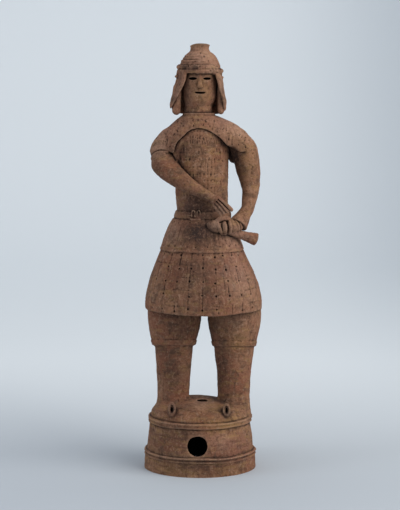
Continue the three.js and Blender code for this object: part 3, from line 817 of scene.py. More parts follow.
# the slanted cut at the foot of the left cheek plate: a place on it by x and height, and its rise
CUT_X, CUT_HEIGHT, CUT_RISE = -58.4, 1109, 1.75
FACE_SLITS = ((-19.5, 903, 12, 4), (19.5, 903, 12, 4), (0, 864, 15, 2.5))
SLIT_FRONT, SLIT_BACK = -85, -20
PLATE_SEAMS = ((-62, 1), (-40, 1.6), (-27, 1.4), (-7, 1.8), (7, 1.6), (34, 1.2), (58, 1.2), (95, 1),
               (130, 1), (165, 1), (200, 1), (235, 1), (262, 1))
COIL_LINES = ((1196, 0.9), (1204.5, 1.5), (1212, 0.8), (1219.5, 1.1), (1231, 0.7), (1238, 0.5))
HELMET_CENTRE, CUP_CENTRE = (HEAD_X, 3), (HEAD_X - 0.8, 3)
CUP = [[z, r, r] for z, r in ((976, 29), (981, 26), (988, 25.3), (992, 26), (995, 28.4), (1000, 29.4))]
CUP_HOLLOW = [[z, r, r] for z, r in ((978, 14), (989, 19.5), (1004, 24.5))]
CHEEK_PLATES = {  # height, centre, half breadth, half thickness, turn
    -1: [[928, 50, -24, 28, 6, 62], [905, 51.8, -24, 27, 6, 64], [883, 58.4, -24, 26, 6, 67],
         [863, 64.2, -23, 24, 7, 70], [849, 69.2, -22, 21, 7.5, 70], [835, 74.5, -21, 15, 8, 74],
         [823, 75.5, -20, 11, 7.5, 74], [817, 75, -20, 6, 4, 74]],
    1: [[918, 50, -22, 26, 5.6, 76], [910, 53, -24, 28, 5.6, 77], [899, 55.6, -24, 28, 5.4, 78],
        [877, 59.6, -24, 25, 5, 79], [855, 64.6, -22, 20, 4.8, 79], [833, 69, -21, 15, 4.2, 79],
        [820, 68.8, -20, 8, 3.2, 79], [814, 68, -20, 5, 2.5, 79]]}
STUDS = [(-1, 65.5, 909, 4.2), (1, 60.5, 906, 4.2), (1, 57.5, 914, 3.0), (-1, 62, 918, 3.0)]
GUARD_STEPS = 3


def plate_relief(x, y, z):
    """The strokes down a cheek plate and its worn surface."""
    return 0.9 * noise(x, y, z, 5, 96, (1, 1, 3.5)) + 0.5 * noise(x, y, z, 10, 97)


def cheek_plate(side):
    table = np.array(sorted(CHEEK_PLATES[side]), float)
    heights = DRUM_HEIGHT + table[:, 0] * UNIT

    def distance(x, y, z):
        line = z.ravel().astype(float)
        cx, cy, half, thick, turn = (
            monotone(heights, table[:, i], line).astype(np.float32) for i in (1, 2, 3, 4, 5))
        lean = np.radians(turn)
        dx = (x - BODY_SHIFT - (HEAD_X + side * cx) * UNIT) * side
        dy = y - cy * UNIT
        u = (dx * np.cos(lean) + dy * np.sin(lean)) / (half * UNIT)
        v = (dx * np.sin(lean) - dy * np.cos(lean)) / (thick * UNIT)
        power = PLATE_SQUARENESS
        rho = (np.abs(u) ** power + np.abs(v) ** power) ** (1 / power) + LEAST_REACH
        grad = np.sqrt((u / (half * UNIT)) ** 2 + (v / (thick * UNIT)) ** 2) + LEAST_SLOPE
        body = np.sqrt(u * u + v * v) * (rho - 1) / grad
        ends = np.maximum(heights[0] - z, z - heights[-1])
        if side < 0:
            ends = np.maximum(ends, (CUT_HEIGHT + CUT_RISE * (x - CUT_X) - z) * 0.5)
        return carve(ended(body.astype(np.float32), ends, 2.0), (x, y, z), plate_relief)

    x = BODY_SHIFT + (HEAD_X + side * 63) * UNIT
    return Form([x - 40, -70, heights[0]], [x + 40, 25, heights[-1]], distance)


def hair_roll(side):
    x, radius, foot = (HEAD_X - 65.5, 12.4, 813) if side < 0 else (HEAD_X + 58, 9.5, 812)
    return body_limb([[x - side * 2, -16, 880, radius * 0.8], [x, -19, 850, radius],
                      [x, -20, foot + 4, radius], [x, -20, foot, radius * 0.86]])


def neck_guard():
    """Plates round the back of the head in three steps, flaring behind and drawn in at the sides."""
    centre = body_point(HEAD_X, 2, 0)
    top, foot = DRUM_HEIGHT + 924 * UNIT, DRUM_HEIGHT + 801 * UNIT
    pitch = (top - foot) / GUARD_STEPS

    def distance(x, y, z):
        dx, dy = x - centre[0], y - centre[1]
        r = np.hypot(dx, dy)
        drop = (top - z) / pitch
        step = np.clip(np.floor(drop), 0, GUARD_STEPS - 1)
        within = held(drop - step)
        behind = held(dy / (r + 1))
        outer = (59 + (step * 5.5 + within * 4) * (0.5 + 0.5 * behind) + 4 * behind) * UNIT
        inner = outer - (9 + 2.5 * behind) * UNIT
        wall = np.maximum(r - outer, inner - r) * 0.96
        ends = np.maximum(z - top, foot + 10 * (1 - behind) - z)
        side_line = -dy - np.tan(math.radians(8)) * np.abs(dx)
        return ended(ended(wall.astype(np.float32), ends, 2.0), side_line * 0.97, 6.0)

    reach = 86 * UNIT
    return Form([centre[0] - reach, -30, foot], [centre[0] + reach, centre[1] + reach, top], distance)


def from_front(angle):
    """Degrees round from the front, towards +X."""
    return (np.degrees(angle) + 270) % 360 - 180


def brow_foot(angle):
    """The brow band's lower edge: raised over the face and curving down to the cheek plates."""
    away = np.abs(from_front(angle) + 3)
    return (BROW_LIFT * UNIT * held((62 - away) / 26) ** 0.5).astype(np.float32)


def brow_crown(angle):
    """The brow band's upper edge: level over the left and falling to a knob on the right."""
    away = from_front(angle)
    right = held((away - 30) / 52) * held((150 - away) / 50)
    return (19 * right + waves(angle, 65, 0.8)).astype(np.float32)


def brow_relief(x, y, z):
    """The brow band's plates, its thin lower strip, and a worn surface."""
    away = from_front(np.arctan2(y, x))
    total = 0.9 * groove(z - STRIP_RIDGE, 3.0) - 1.7 * groove(z - STRIP_GROOVE, 1.9)

    def across(here):
        return ((away - here + 180) % 360 - 180) * BROW_MM_PER_DEGREE

    for here, depth in PLATE_SEAMS:
        total -= depth * groove(across(here), 1.7) * (z > SEAM_FOOT)
    for here, width, depth in ((-33, 5.5, 2.8), (0, 6.0, 3.0), (64, 5.0, 1.6)):
        total -= depth * groove(across(here), width) * groove(z - DENT_LEVEL, 3.6)
    return total + 1.3 * noise(x, y, z, 8, 92)


def dome_relief(x, y, z):
    """The ridges of the helmet's coils, strongest towards the left, and a few pits."""
    strength = np.clip(0.65 - x / 60, 0.25, 1.0)
    total = 0.5 * noise(x, y, z, 7, 93)
    for level, depth in COIL_LINES:
        wander = waves(np.arctan2(y, x), int(level), 0.9)
        total -= depth * strength * groove(z - level - wander, 1.9)
        total += 0.6 * depth * strength * groove(z - level - wander + 4, 2.0)
    for px, pz in ((10, 1215), (12, 1211.5), (-43, 1212), (24, 1200), (1, 1222), (-14, 1198)):
        total -= 1.8 * pit(np.hypot(x - px, z - pz), 2.0) * (y < 0)
    return total


def cup_top():
    """What is worn off the cup's rim, lower at both sides than in front."""
    def distance(x, y, z):
        fall = np.where(x < 0, 7.0, 4.0) * (x / 28) ** 2
        return (FIGURE_HEIGHT - fall + 0.5 - z + 0 * y).astype(np.float32)

    return round_form(40, FIGURE_HEIGHT - 12, FIGURE_HEIGHT + 6, distance)


def stud(side, x, z, radius):
    """A low rivet on the outer face of a cheek plate."""
    place = body_point(HEAD_X + side * x, -14, z)
    return limb([[*place, radius * UNIT],
                 [place[0] + side * 2.0, place[1], place[2], radius * UNIT * 0.8]], steps=1)


# ---- the figure put together

def grown_bounds():
    low = [cad_low.x / MM - AXIS_X - MARGIN, cad_low.y / MM - MARGIN, -FOOT_ROOM]
    high = [cad_high.x / MM - AXIS_X + MARGIN, cad_high.y / MM + MARGIN, FIGURE_HEIGHT + FOOT_ROOM]
    return low, high


def model():
    clay = Clay(*grown_bounds(), STEP)
    # the drum
    clay.add(drum_wall(0, CROWN_FOOT, 0), 0)
    clay.add(drum_crown(0, 60), 1.5)
    clay.add(drum_band(LOWER_BAND_HEIGHT, 160.5, 11, 0.62), 1.5)
    clay.add(drum_band(UPPER_BAND_HEIGHT, 149.0, 14, 0.36), 1.5)
    for side in (-1, 1):
        clay.add(toe(side, 11.6, 22 - max(side, 0) * 2, -12, 15, 5), 3.5)
    # the legs
    for leg in LEGS:
        clay.add(loft(along_leg(leg, shin_rows(leg)), edge=0, relief=trouser_relief), 12)
        clay.add(loft(along_leg(leg, thigh_rows(leg)), edge=3, relief=trouser_relief,
                      slant=TIE_SLANT), 1.5)
        clay.add(loft(along_leg(leg, tie_rows(leg)), edge=1, slant=TIE_SLANT,
                      foot=lambda a: waves(a, 21, 0.7)), 0.6)
    # the trunk
    clay.add(body_loft(LOWER_TIER, edge=3, relief=skirt_relief,
                       foot=lambda a: waves(a, 31, 0.9) - 3.5 * groove(from_front(a), 45)), 3)
    proud = HEM_STEP / UNIT
    upper = [[z, w + proud, d + proud, x] for z, w, d, x in UPPER_TIER]
    clay.add(body_loft(upper, edge=3, relief=upper_tier_relief, foot=lambda a: waves(a, 33, 0.6)), 0.6)
    clay.add(body_loft(CUIRASS, edge=0, relief=cuirass_relief), 2)
    clay.add(body_loft(BELT, edge=3, relief=belt_relief, foot=lambda a: waves(a, 37, 0.7),
                       crown=lambda a: waves(a, 38, 1.0)), 1.5)
    for x in (-28, -13.5):
        clay.add(body_limb([[x + dx, y, z, 2.1] for dx, y, z in BOW_LOOP]), 1.2)
    clay.add(body_limb(BOW_TAIL), 1)
    clay.add(body_limb(BOW_KNOT), 1)
    # neck, head and cape
    clay.add(body_loft(HEAD, (HEAD_X, 1), edge=2), 2)
    clay.add(cape(), 1)
    # arms
    clay.add(body_limb(RIGHT_SLEEVE, relief=sleeve_relief), 4)
    clay.add(body_limb(RIGHT_FOREARM, relief=sleeve_relief), 0.8)
    clay.add(body_limb(RIGHT_PALM), 4)
    for rows in RIGHT_FINGERS:
        clay.add(body_limb(rows), 0.8)
    for gap in finger_gaps():
        clay.cut(gap, 1.0)
    clay.add(body_limb(LEFT_SLEEVE, relief=sleeve_relief), 4)
    clay.add(limb(ARMPIT_WEB), 6)
    clay.add(limb(ARCH_FILL), 6)
    clay.cut(limb(ARMPIT), 6)
    for line, depth, width in SCORES:
        score(clay, line, depth, width)
    clay.add(sword(), 1)
    clay.add(body_limb(FIST), 2)
    clay.add(body_limb(LEFT_BACK, relief=hand_ridges), 4)
    clay.add(left_cuff(), 0.8)
    for rows in FIST_FINGERS:
        clay.add(body_limb(rows), 0.8)
    # helmet
    clay.add(body_limb(NOSE), 3)
    clay.add(body_loft(DOME, HELMET_CENTRE, edge=1, relief=dome_relief), 2)
    clay.add(body_loft(CUP, CUP_CENTRE, edge=1.2), 1.5)
    clay.add(neck_guard(), 1.5)
    for side in (-1, 1):
        clay.add(hair_roll(side), 2)
        clay.add(cheek_plate(side), 1.0)
    clay.add(body_loft(BROW, HELMET_CENTRE, edge=1.5, relief=brow_relief, foot=brow_foot,
                       crown=brow_crown), 0.6)
    for x, z, size in ((-60.8, 935, 5.4), (60.8, 924.5, 5.0)):
        p = body_point(HEAD_X + x, -8, z)
        clay.add(limb([[p[0] * 0.97, p[1] + 6, p[2] + 3, size - 1], [p[0], p[1] - 3, p[2], size],
                       [p[0] * 0.98, p[1] - 13, p[2] - 2, size - 1]]), 3)
    for row in STUDS:
        clay.add(stud(*row), 0.6)
    outside = np.clip(clay.field, -FAR, FAR)
    hollow_out(clay)
    return clay, outside


def hollow_out(clay):
    """Takes out the inside, and cuts the openings into it."""
    # the drum's inside and holes
    clay.cut(drum_wall(DRUM_WALL, CROWN_FOOT - DRUM_WALL, -20), 2)
    clay.cut(drum_crown(DRUM_WALL, 60), 2)
    clay.cut(side_hole(), 2.0)
    clay.cut(crown_hole(), 1.5)
    # the trunk, neck and legs
    floor = 297
    chest = [[floor, 160, 152]] + [row for row in LOWER_TIER if floor < row[0] < UPPER_TIER[0][0]]
    chest += [[513, 77, 73], [610, 74, 67, -5], [712, 77, 68, -5], [752, 68, 60]]
    clay.cut(body_loft(chest, inset=TRUNK_WALL, edge=6), 2)
    neck = [[735, 45, 45, -10]] + HEAD[1:3] + HEAD[4:] + [[952, 46, 48], [966, 34, 36]]
    clay.cut(body_loft(neck, (HEAD_X, 1), inset=HEAD_WALL, edge=4), 2)
    for leg in LEGS:
        bore = [[-28 / UNIT, leg["foot_radius"]], [151 + leg["lift"], leg["foot_radius"] + leg["calf"]],
                [205, 73], [floor + 30, 73]]
        clay.cut(loft(along_leg(leg, bore), inset=LEG_WALL, edge=2), 4)
    cut_recess(clay, body_loft([[233, 164, 156], [281, 162, 154]], inset=TRUNK_WALL, edge=4))
    # face, toes and cup
    for x, height, half_width, half_height in FACE_SLITS:
        p = body_point(HEAD_X + x, 0, height)
        clay.cut(bar(p[0], p[2], half_width, half_height, SLIT_FRONT, SLIT_BACK), 1)
    for side in (-1, 1):
        clay.cut(toe(side, 6.4, 12.0, 10.5, 30, 2), 2.5)
        clay.cut(toe(side, 3.8, 8.0, -4, 30, 1.5), 1.5)
    clay.cut(body_loft(CUP_HOLLOW, CUP_CENTRE, edge=2), 1.5)
    clay.cut(cup_top(), 1.5)
    for x, y, z, depth in ((31, -66, 1171.5, 9), (57, -96, 736, 12)):
        clay.cut(bar(x, z, 2.6, 3.0, y - 12, y + depth), 1)


def cut_recess(clay, form):
    """Hollows the skirt's underside round the thighs, and leaves the thighs."""
    thighs = [loft(along_leg(leg, thigh_rows(leg)), edge=0) for leg in LEGS]

    def distance(x, y, z):
        open_space = form.distance(x, y, z)
        for thigh in thighs:
            open_space = smooth_max(open_space, -thigh.distance(x, y, z), 3)
        return open_space

    clay.cut(Form(form.low, form.high, distance), 2)


def roughen(clay, outside):
    """The unevenness of hand-built clay, all over its outer surface and faint in the hollow."""
    where, (x, y, z) = clay.near(3 * clay.step)
    lumps = 0.9 * noise(x, y, z, 48, 71) + 0.55 * noise(x, y, z, 19, 72)
    lumps += 0.35 * noise(x, y, z, 8, 73, (1.6, 1.6, 0.7))
    pits = held(noise(x, y, z, 4.5, 77) - 0.55) * held(noise(x, y, z, 40, 78) + 0.5)
    outer = np.clip((outside[where] + 9) / 4, 0.1, 1)
    clay.field[where] -= (lumps - 2.6 * pits) * outer
    clay.cut(round_form(200, -10, 0, lambda x, y, z: z + 0 * (x + y)), 1.0)


# ---- what the surface knows of itself

def soften(field, cells):
    """A box blur over the grid, as many cells to each side."""
    for axis in range(3):
        line = np.moveaxis(field, axis, 0)
        first, last = line[:1], line[-1:]
        padded = np.concatenate([np.repeat(first, cells + 1, 0), line, np.repeat(last, cells, 0)])
        total = np.cumsum(padded, axis=0, dtype=np.float32)
        width = 2 * cells + 1
        field = np.moveaxis((total[width:] - total[:-width]) / width, 0, axis)
    return field


def sample(clay, field, points):
    """The field's value at points in millimetres."""
    place = np.clip((points - clay.low) / clay.step, 0, np.array(field.shape) - 1.001)
    cell = place.astype(np.int32)
    return between_points(field, cell.T, (place - cell).astype(np.float32).T)


# Tones of the firing and of age, with painted light among them: the soot rows are partly real stains
# and partly painted shade under the hem, in the armpit, down the left side and in the toes, and the
# pale rows on the hands are painted highlights. A row is a place, how far the tone reaches from it
# along each axis, and its strength.
TONES = {
    "soot_and_shade": [
        (-5, -80, 775, 66, 60, 48, 0.85), (-2, -95, 706, 64, 60, 48, 0.95),
        (101, -24, 920, 19, 44, 46, 0.90), (-20, -140, 600, 85, 70, 72, 0.58),
        (10, -155, 530, 80, 60, 60, 0.42), (-82, -118, 189, 17, 24, 24, 0.75),
        (77, -118, 187, 17, 24, 22, 0.75), (0, -25, 1252, 40, 34, 4.5, 0.95),
        (-60, -60, 940, 34, 40, 38, 0.62), (-120, -30, 895, 42, 40, 46, 0.50),
        (-60, -80, 855, 40, 50, 26, 0.32), (-85, -60, 462, 60, 90, 13, 0.60),
        (85, -60, 462, 60, 90, 13, 0.45), (-76, -40, 1084, 11, 30, 11, 0.75),
        (-60, -45, 1145, 8, 30, 18, 0.40), (66, -45, 1105, 8, 30, 30, 0.45),
        (-66, -45, 1118, 7, 30, 24, 0.35), (114, -34, 880, 15, 40, 64, 0.60),
        (-40, -110, 198, 34, 40, 18, 0.34), (36, -120, 188, 30, 40, 14, 0.32),
        (-110, -100, 95, 40, 60, 40, 0.30), (0, -160, 40, 150, 60, 28, 0.55),
        (62, -70, 390, 24, 40, 30, 0.5), (-85, -60, 350, 50, 60, 24, 0.48),
        (-60, -70, 690, 40, 50, 40, 0.45), (-45, -100, 600, 48, 70, 52, 0.40),
        (-60, -60, 860, 30, 60, 90, 0.30), (-75, -50, 285, 38, 60, 60, 0.58),
        (62, -40, 300, 28, 70, 90, 0.52), (-50, -60, 420, 54, 80, 40, 0.58),
        (45, -60, 430, 36, 80, 40, 0.38), (-70, -130, 115, 58, 60, 30, 0.45),
        (-42, -55, 1182, 16, 40, 9, 0.85), (-12, -70, 1182, 14, 30, 11, 0.75),
        (-40, -40, 1075, 24, 40, 44, 0.45), (-140, -20, 880, 26, 60, 60, 0.25),
        (-120, 60, 560, 60, 90, 90, 0.40), (60, 120, 600, 70, 60, 80, 0.35),
        (20, 70, 900, 50, 50, 80, 0.35), (-60, 60, 300, 50, 60, 80, 0.35),
        (60, 140, 80, 80, 50, 50, 0.35),
    ],
    # lighter clay; the rows on the hands are painted highlights
    "pale_and_highlight": [
        (0, -40, 1215, 60, 60, 34, 0.40), (40, -50, 1180, 36, 60, 22, 0.40),
        (-60, -40, 1120, 30, 50, 50, 0.35), (62, -40, 1120, 24, 50, 60, 0.35),
        (105, -20, 1005, 60, 60, 40, 0.50), (-118, -20, 960, 34, 60, 44, 0.50),
        (-95, -70, 705, 44, 60, 44, 0.50), (92, -70, 690, 40, 60, 50, 0.42),
        (110, -90, 570, 50, 60, 60, 0.34), (4, -80, 206, 30, 60, 16, 0.34),
        (60, -130, 110, 40, 60, 22, 0.28), (-60, -150, 60, 70, 60, 10, 0.30),
        (50, -95, 727, 36, 40, 20, 0.80), (60, -95, 772, 28, 30, 22, 0.70),
        (105, -60, 480, 40, 60, 50, 0.25), (70, 60, 960, 70, 60, 60, 0.30),
        (-40, 120, 560, 60, 60, 60, 0.25),
    ],
    "ochre": [
        (75, -130, 150, 50, 60, 20, 0.75), (30, -70, 860, 24, 40, 80, 0.12),
        (4, -60, 1110, 26, 30, 30, 0.45), (-60, -70, 880, 40, 50, 50, 0.10),
        (125, -30, 930, 40, 60, 80, 0.30), (110, -60, 385, 30, 60, 30, 0.45),
        (-20, -20, 1246, 30, 40, 8, 0.6), (-90, -140, 20, 60, 50, 22, 0.45),
        (70, -130, 20, 70, 50, 22, 0.35), (0, -100, 196, 60, 60, 30, 0.30),
        (30, 130, 540, 60, 60, 60, 0.30), (-30, 60, 1000, 60, 50, 30, 0.30),
    ],
    "pink": [
        (100, -120, 80, 60, 60, 40, 0.40), (-60, -100, 215, 50, 50, 30, 0.40),
        (60, -20, 1030, 50, 60, 30, 0.45), (-80, -20, 1010, 50, 60, 30, 0.35),
        (90, -100, 590, 60, 60, 60, 0.40), (95, -60, 690, 40, 40, 30, 0.40),
        (-40, -80, 780, 30, 40, 40, 0.35), (0, -60, 1215, 40, 40, 30, 0.30),
        (40, 60, 1000, 50, 40, 40, 0.30), (-60, 120, 90, 60, 50, 50, 0.30),
    ],
}


def tone(points, kind):
    total = np.zeros(len(points), np.float32)
    for *place, strength in TONES[kind]:
        away = ((points - np.array(place[:3])) / np.array(place[3:])) ** 2
        total = np.maximum(total, strength * np.exp(-away.sum(1)))
    return total


def store(mesh, name, values):
    layer = mesh.attributes.new(name, "FLOAT", "POINT")
    layer.data.foreach_set("value", np.ascontiguousarray(values, np.float32))


def fade(values, start, end):
    share = held((values - start) / (end - start))
    return share * share * (3 - 2 * share)


def know_surface(clay, outside, mesh):
    """Stores on the mesh how hollow, proud, hidden and tinted each place is."""
    co = np.empty(len(mesh.vertices) * 3, np.float32)
    mesh.vertices.foreach_get("co", co)
    points = co.reshape(-1, 3) / MM - [AXIS_X, 0, 0]
    fine = sample(clay, soften(np.clip(clay.field, -5, 5), 2), points)
    broad = sample(clay, soften(np.clip(outside, -16, 16), max(1, round(14 / clay.step))), points)
    # how far each place lies in a crease or pit, for painted shade there
    store(mesh, "hollow", fade(-fine, 0.12, 0.9))
    store(mesh, "proud", fade(fine, 0.35, 1.5))
    # how deep each place lies among other forms, for painted shade in recesses
    store(mesh, "recess_shade", fade(-broad, 0.3, 6.0))
    # the inner walls, for painted shade seen through the openings
    store(mesh, "inside", fade(-sample(clay, outside, points), 4.0, 9.0))
    for kind in TONES:
        store(mesh, kind, tone(points, kind))


# ---- the mesh

TRIANGLES = 192000
CRUMB = 0.01


def build_mesh(clay):
    """The clay's surface as a dense mesh of quads, in the frame's metres."""
    grid = openvdb.FloatGrid(FAR)
    grid.copyFromArray(np.clip(clay.field, -6, 6))
    points, _, quads = grid.convertToPolygons(0.0, 0.0)
    places = (points * clay.step + clay.low + [AXIS_X, 0, 0]) * MM
    mesh = bpy.data.meshes.new("haniwa_clay")
    mesh.vertices.add(len(places))
    mesh.vertices.foreach_set("co", places.astype(np.float32).ravel())
    count = len(quads)
    mesh.loops.add(count * 4)
    mesh.loops.foreach_set("vertex_index", quads.astype(np.int32).ravel())
    mesh.polygons.add(count)
    mesh.polygons.foreach_set("loop_start", np.arange(0, count * 4, 4, dtype=np.int32))
    mesh.update(calc_edges=True)
    mesh.validate()
    return mesh


def drop_crumbs(mesh):
    """Deletes the tiny shells that are left between forms, and keeps the figure's own."""
    corners = np.empty(len(mesh.loops), np.int32)
    mesh.loops.foreach_get("vertex_index", corners)
    corners = corners.reshape(-1, 3)
    shell = np.arange(len(mesh.vertices))
    while True:
        least, spread = shell[corners].min(1), shell.copy()
        for k in range(3):
            np.minimum.at(spread, corners[:, k], least)
        spread = spread[spread]
        if (spread == shell).all():
            break
        shell = spread
    crumbs = np.nonzero(np.bincount(shell)[shell] < CRUMB * len(shell))[0]
    form = bmesh.new()
    form.from_mesh(mesh)
    form.verts.ensure_lookup_table()
    bmesh.ops.delete(form, geom=[form.verts[i] for i in crumbs], context="VERTS")
    form.to_mesh(mesh)
    form.free()


def main():
    """Models the figure, thins its mesh and stores on it what the material needs."""
    clay, outside = model()
    roughen(clay, outside)
    mesh = build_mesh(clay)
    piece = bpy.data.objects.new("haniwa_clay", mesh)
    bpy.context.scene.collection.objects.link(piece)
    modifier = piece.modifiers.new("fewer", "DECIMATE")
    modifier.ratio = min(1.0, TRIANGLES / (2 * len(mesh.polygons)))
    modifier.use_collapse_triangulate = True
    depsgraph = bpy.context.evaluated_depsgraph_get()
    reduced = bpy.data.meshes.new_from_object(piece.evaluated_get(depsgraph))
    piece.modifiers.clear()
    piece.data = reduced
    bpy.data.meshes.remove(mesh)
    drop_crumbs(reduced)
    reduced.shade_smooth()
    know_surface(clay, outside, reduced)
    return piece


figure = main()
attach(figure, "root")
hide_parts(NODE)

# ---- material

class Graph:
    """Short names for the nodes of one material."""

    def __init__(self, material):
        material.use_nodes = True
        self.tree = material.node_tree
        self.shader = self.tree.nodes["Principled BSDF"]
        self.place = self.tree.nodes.new("ShaderNodeTexCoord").outputs["Object"]
        self.parts = None

    def link(self, value, socket):
        if isinstance(value, bpy.types.NodeSocket):
            self.tree.links.new(value, socket)
        else:
            socket.default_value = value

    def attribute(self, name):
        node = self.tree.nodes.new("ShaderNodeAttribute")
        node.attribute_name = name
        return node.outputs["Fac"]

    def noise(self, scale, detail=3.0, roughness=0.55, distortion=0.0, place=None):
        node = self.tree.nodes.new("ShaderNodeTexNoise")
        inputs = {"Vector": place or self.place, "Scale": scale, "Detail": detail,
                  "Roughness": roughness, "Distortion": distortion}
        for name, value in inputs.items():
            self.link(value, node.inputs[name])
        return node.outputs["Fac"]

    def stretched(self, x, y, z):
        node = self.tree.nodes.new("ShaderNodeMapping")
        self.link(self.place, node.inputs["Vector"])
        node.inputs["Scale"].default_value = (x, y, z)
        return node.outputs["Vector"]

    def range(self, value, low, high, to_low=0.0, to_high=1.0):
        node = self.tree.nodes.new("ShaderNodeMapRange")
        node.interpolation_type = "SMOOTHSTEP"
        self.link(value, node.inputs["Value"])
        limits = {"From Min": low, "From Max": high, "To Min": to_low, "To Max": to_high}
        for name, number in limits.items():
            node.inputs[name].default_value = number
        return node.outputs["Result"]

    def axis(self, name):
        if not self.parts:
            self.parts = self.tree.nodes.new("ShaderNodeSeparateXYZ").outputs
            self.link(self.place, self.parts["X"].node.inputs["Vector"])
        return self.parts[name]

    def math(self, operation, a, b):
        node = self.tree.nodes.new("ShaderNodeMath")
        node.operation = operation
        self.link(a, node.inputs[0])
        self.link(b, node.inputs[1])
        return node.outputs["Value"]

    def mix(self, share, a, b):
        node = self.tree.nodes.new("ShaderNodeMix")
        node.data_type = "RGBA"
        self.link(share, node.inputs["Factor"])
        self.link(a, node.inputs["A"])
        self.link(b, node.inputs["B"])
        return [o for o in node.outputs if o.type == "RGBA"][0]


def rgb(red, green, blue):
    """A colour as a screen shows it, made linear."""
    shown = (c / 255 for c in (red, green, blue))
    return (*(c / 12.92 if c < 0.0404 else ((c + 0.055) / 1.055) ** 2.4 for c in shown), 1.0)


TERRACOTTA, RED_CLAY, BROWN_CLAY = rgb(140, 101, 77), rgb(129, 83, 62), rgb(103, 75, 58)
OCHRE, PINK, PALE_CLAY_AND_HIGHLIGHT, WORN = rgb(150, 115, 72), rgb(136, 97, 84), rgb(178, 142, 120), rgb(174, 142, 118)
# The soot colour serves both real dark stains and painted shade; the deep colour is painted shade in
# creases and pits, and the inside colour is painted shade on the inner walls.
EARTH, DARK_SOOT_AND_SHADE, CREASE_SHADE, INSIDE_SHADE = rgb(70, 46, 34), rgb(52, 38, 33), rgb(32, 18, 12), rgb(30, 20, 16)
DRUM_TOP, BODY_FOOT = 0.200, 0.225


def clay_finish(material):
    g = Graph(material)
    broad, blotch, mottle = g.noise(9, 3), g.noise(38, 4, 0.62, 0.6), g.noise(85, 5, 0.7, 0.8)
    fleck, grain = g.noise(170, 4, 0.7), g.noise(520, 2)
    streak = g.noise(26, 4, 0.6, 0.3, g.stretched(1, 1, 3.2))
    brushed = g.noise(120, 3, 0.6, 0.0, g.stretched(1, 1, 0.12))
    layered = g.noise(46, 4, 0.6, 0.4, g.stretched(0.32, 0.32, 2.6))
    on_drum = g.range(g.axis("Z"), DRUM_TOP, BODY_FOOT, 1, 0)
    soot_and_shade, recess_shade, proud = g.attribute("soot_and_shade"), g.attribute("recess_shade"), g.attribute("proud")
    colour = g.mix(g.range(broad, 0.36, 0.64), TERRACOTTA, RED_CLAY)
    # A layer is its pattern, the two values that it runs between, its shares there, the zone that
    # holds it, and its colour.
    for pattern, low, high, least, most, zone, tint in (
        (blotch, 0.47, 0.65, 0, 0.90, None, BROWN_CLAY),
        (streak, 0.50, 0.70, 0, 0.55, None, OCHRE),
        (fleck, 0.30, 0.62, 0.35, 1.2, g.attribute("ochre"), OCHRE),
        (blotch, 0.30, 0.60, 0.40, 1.2, g.attribute("pink"), PINK),
        # pale tones: lighter clay, and on the hands painted highlights
        (blotch, 0.66, 0.34, 0.60, 1.2, g.attribute("pale_and_highlight"), PALE_CLAY_AND_HIGHLIGHT),
        (mottle, 0.53, 0.68, 0, 0.62, None, EARTH),
        (mottle, 0.47, 0.33, 0, 0.42, None, WORN),
        (layered, 0.50, 0.68, 0, 0.42, on_drum, EARTH),
        (layered, 0.46, 0.34, 0, 0.45, on_drum, OCHRE),
        # soot tones: darker stains of the firing together with painted shade in recesses and on the
        # side away from the light
        (mottle, 0.28, 0.60, 0.70, 1.2, soot_and_shade, DARK_SOOT_AND_SHADE),
        (brushed, 0.54, 0.70, 0, 0.40, None, EARTH),
        (fleck, 0.55, 0.70, 0, 0.60, None, EARTH),
        (fleck, 0.43, 0.30, 0, 0.34, None, WORN),
        (grain, 0.43, 0.30, 0, 0.28, None, DARK_SOOT_AND_SHADE),
        # painted shade: darkens recesses, armpits and places under the hem and cape, by how much clay
        # surrounds them
        (blotch, 0.25, 0.65, 0.65, 1.0, recess_shade, DARK_SOOT_AND_SHADE),
        (fleck, 0.40, 0.62, 0.10, 0.60, proud, WORN),
    ):
        share = g.range(pattern, low, high, least, most)
        colour = g.mix(g.math("MULTIPLY", zone, share) if zone else share, colour, tint)
    # painted shade: darkens creases, incised lines and pits by how hollow the surface is there
    colour = g.mix(g.math("MULTIPLY", g.attribute("hollow"), 0.9), colour, CREASE_SHADE)
    # painted shade: near black on the inner walls of the drum, trunk, legs and head, so that the
    # openings look dark
    colour = g.mix(g.attribute("inside"), colour, INSIDE_SHADE)
    g.link(colour, g.shader.inputs["Base Color"])
    g.link(g.range(fleck, 0.3, 0.7, 0.78, 0.96), g.shader.inputs["Roughness"])
    g.shader.inputs["Specular IOR Level"].default_value = 0.22
    bump = g.tree.nodes.new("ShaderNodeBump")
    height = g.math("ADD", g.math("SUBTRACT", 0.0, fleck), g.math("MULTIPLY", grain, 0.45))
    g.link(height, bump.inputs["Height"])
    bump.inputs["Strength"].default_value = 0.9
    bump.inputs["Distance"].default_value = 0.0028
    g.link(bump.outputs["Normal"], g.shader.inputs["Normal"])


clay_material = bpy.data.materials.new("fired_clay")
clay_finish(clay_material)
figure.data.materials.clear()
figure.data.materials.append(clay_material)

# ---- stage and light

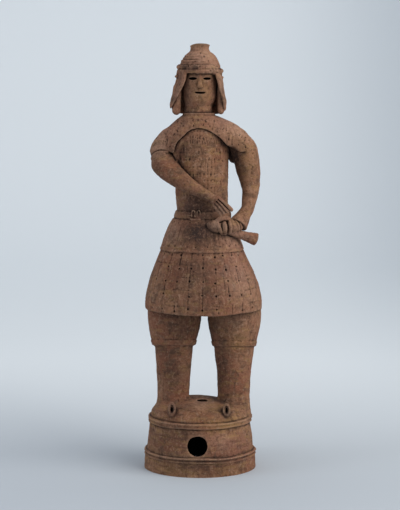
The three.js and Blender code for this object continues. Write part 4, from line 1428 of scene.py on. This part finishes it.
def backdrop():
    """A sheet that lies as the floor and curves up into a wall, well behind the figure."""
    rows = [(-9.0, 0.0), (4.6, 0.0), (5.8, 0.05), (6.8, 0.4), (7.5, 1.2), (7.7, 2.4), (7.7, 9.0)]
    mesh = bpy.data.meshes.new("backdrop")
    vertices = [(x, y, z) for y, z in rows for x in (-10.0, 10.0)]
    faces = [(2 * i, 2 * i + 1, 2 * i + 3, 2 * i + 2) for i in range(len(rows) - 1)]
    mesh.from_pydata(vertices, [], faces)
    mesh.shade_smooth()
    sheet = bpy.data.objects.new("backdrop", mesh)
    bpy.context.scene.collection.objects.link(sheet)
    bend = sheet.modifiers.new("smooth", "SUBSURF")
    bend.levels = bend.render_levels = 3
    material = bpy.data.materials.new("backdrop")
    material.use_nodes = True
    g = Graph(material)
    # painted shade: the wall, and faintly the floor, grow darker towards +X, where the light falls off
    wall = g.mix(g.range(g.axis("X"), 0.2, 2.0), (0.80, 0.84, 0.87, 1), (0.545, 0.59, 0.635, 1))
    floor = g.mix(g.range(g.axis("X"), -2.0, 2.0), (0.47, 0.51, 0.56, 1), (0.46, 0.50, 0.54, 1))
    g.link(g.mix(g.range(g.axis("Y"), -0.4, 2.2), floor, wall), g.shader.inputs["Base Color"])
    g.shader.inputs["Roughness"].default_value = 0.9
    mesh.materials.append(material)
    return sheet


backdrop()


def area_light(name, place, aim, size, power, colour):
    data = bpy.data.lights.new(name, "AREA")
    data.shape = "RECTANGLE"
    data.size, data.size_y = size
    data.energy = power
    data.color = colour
    lamp = bpy.data.objects.new(name, data)
    lamp.location = place
    direction = Vector(aim) - Vector(place)
    lamp.rotation_euler = direction.to_track_quat("-Z", "Y").to_euler()
    bpy.context.scene.collection.objects.link(lamp)


# a large warm lamp from the right, a cool fill from the left, one above, and one for the wall
area_light("key", (3.3, -2.2, 2.9), (0, 0, 0.7), (4.2, 4.2), 192, (1.0, 0.97, 0.93))
area_light("fill", (-3.6, -1.4, 1.6), (0, 0, 0.6), (2.0, 2.6), 38, (0.95, 0.97, 1.0))
area_light("above", (0.0, -0.6, 5.2), (0, 0.6, 0), (4.0, 4.0), 35, (1.0, 1.0, 1.0))
area_light("wall", (-0.6, 4.2, 5.4), (-0.6, 7.7, 1.2), (9.0, 2.0), 85, (1.0, 1.0, 1.0))
bpy.context.scene.view_settings.view_transform = "Standard"
world = bpy.data.worlds.new("studio")
world.use_nodes = True
sky = world.node_tree.nodes["Background"].inputs
sky["Color"].default_value = (0.82, 0.88, 0.95, 1)
sky["Strength"].default_value = 0.48
bpy.context.scene.world = world
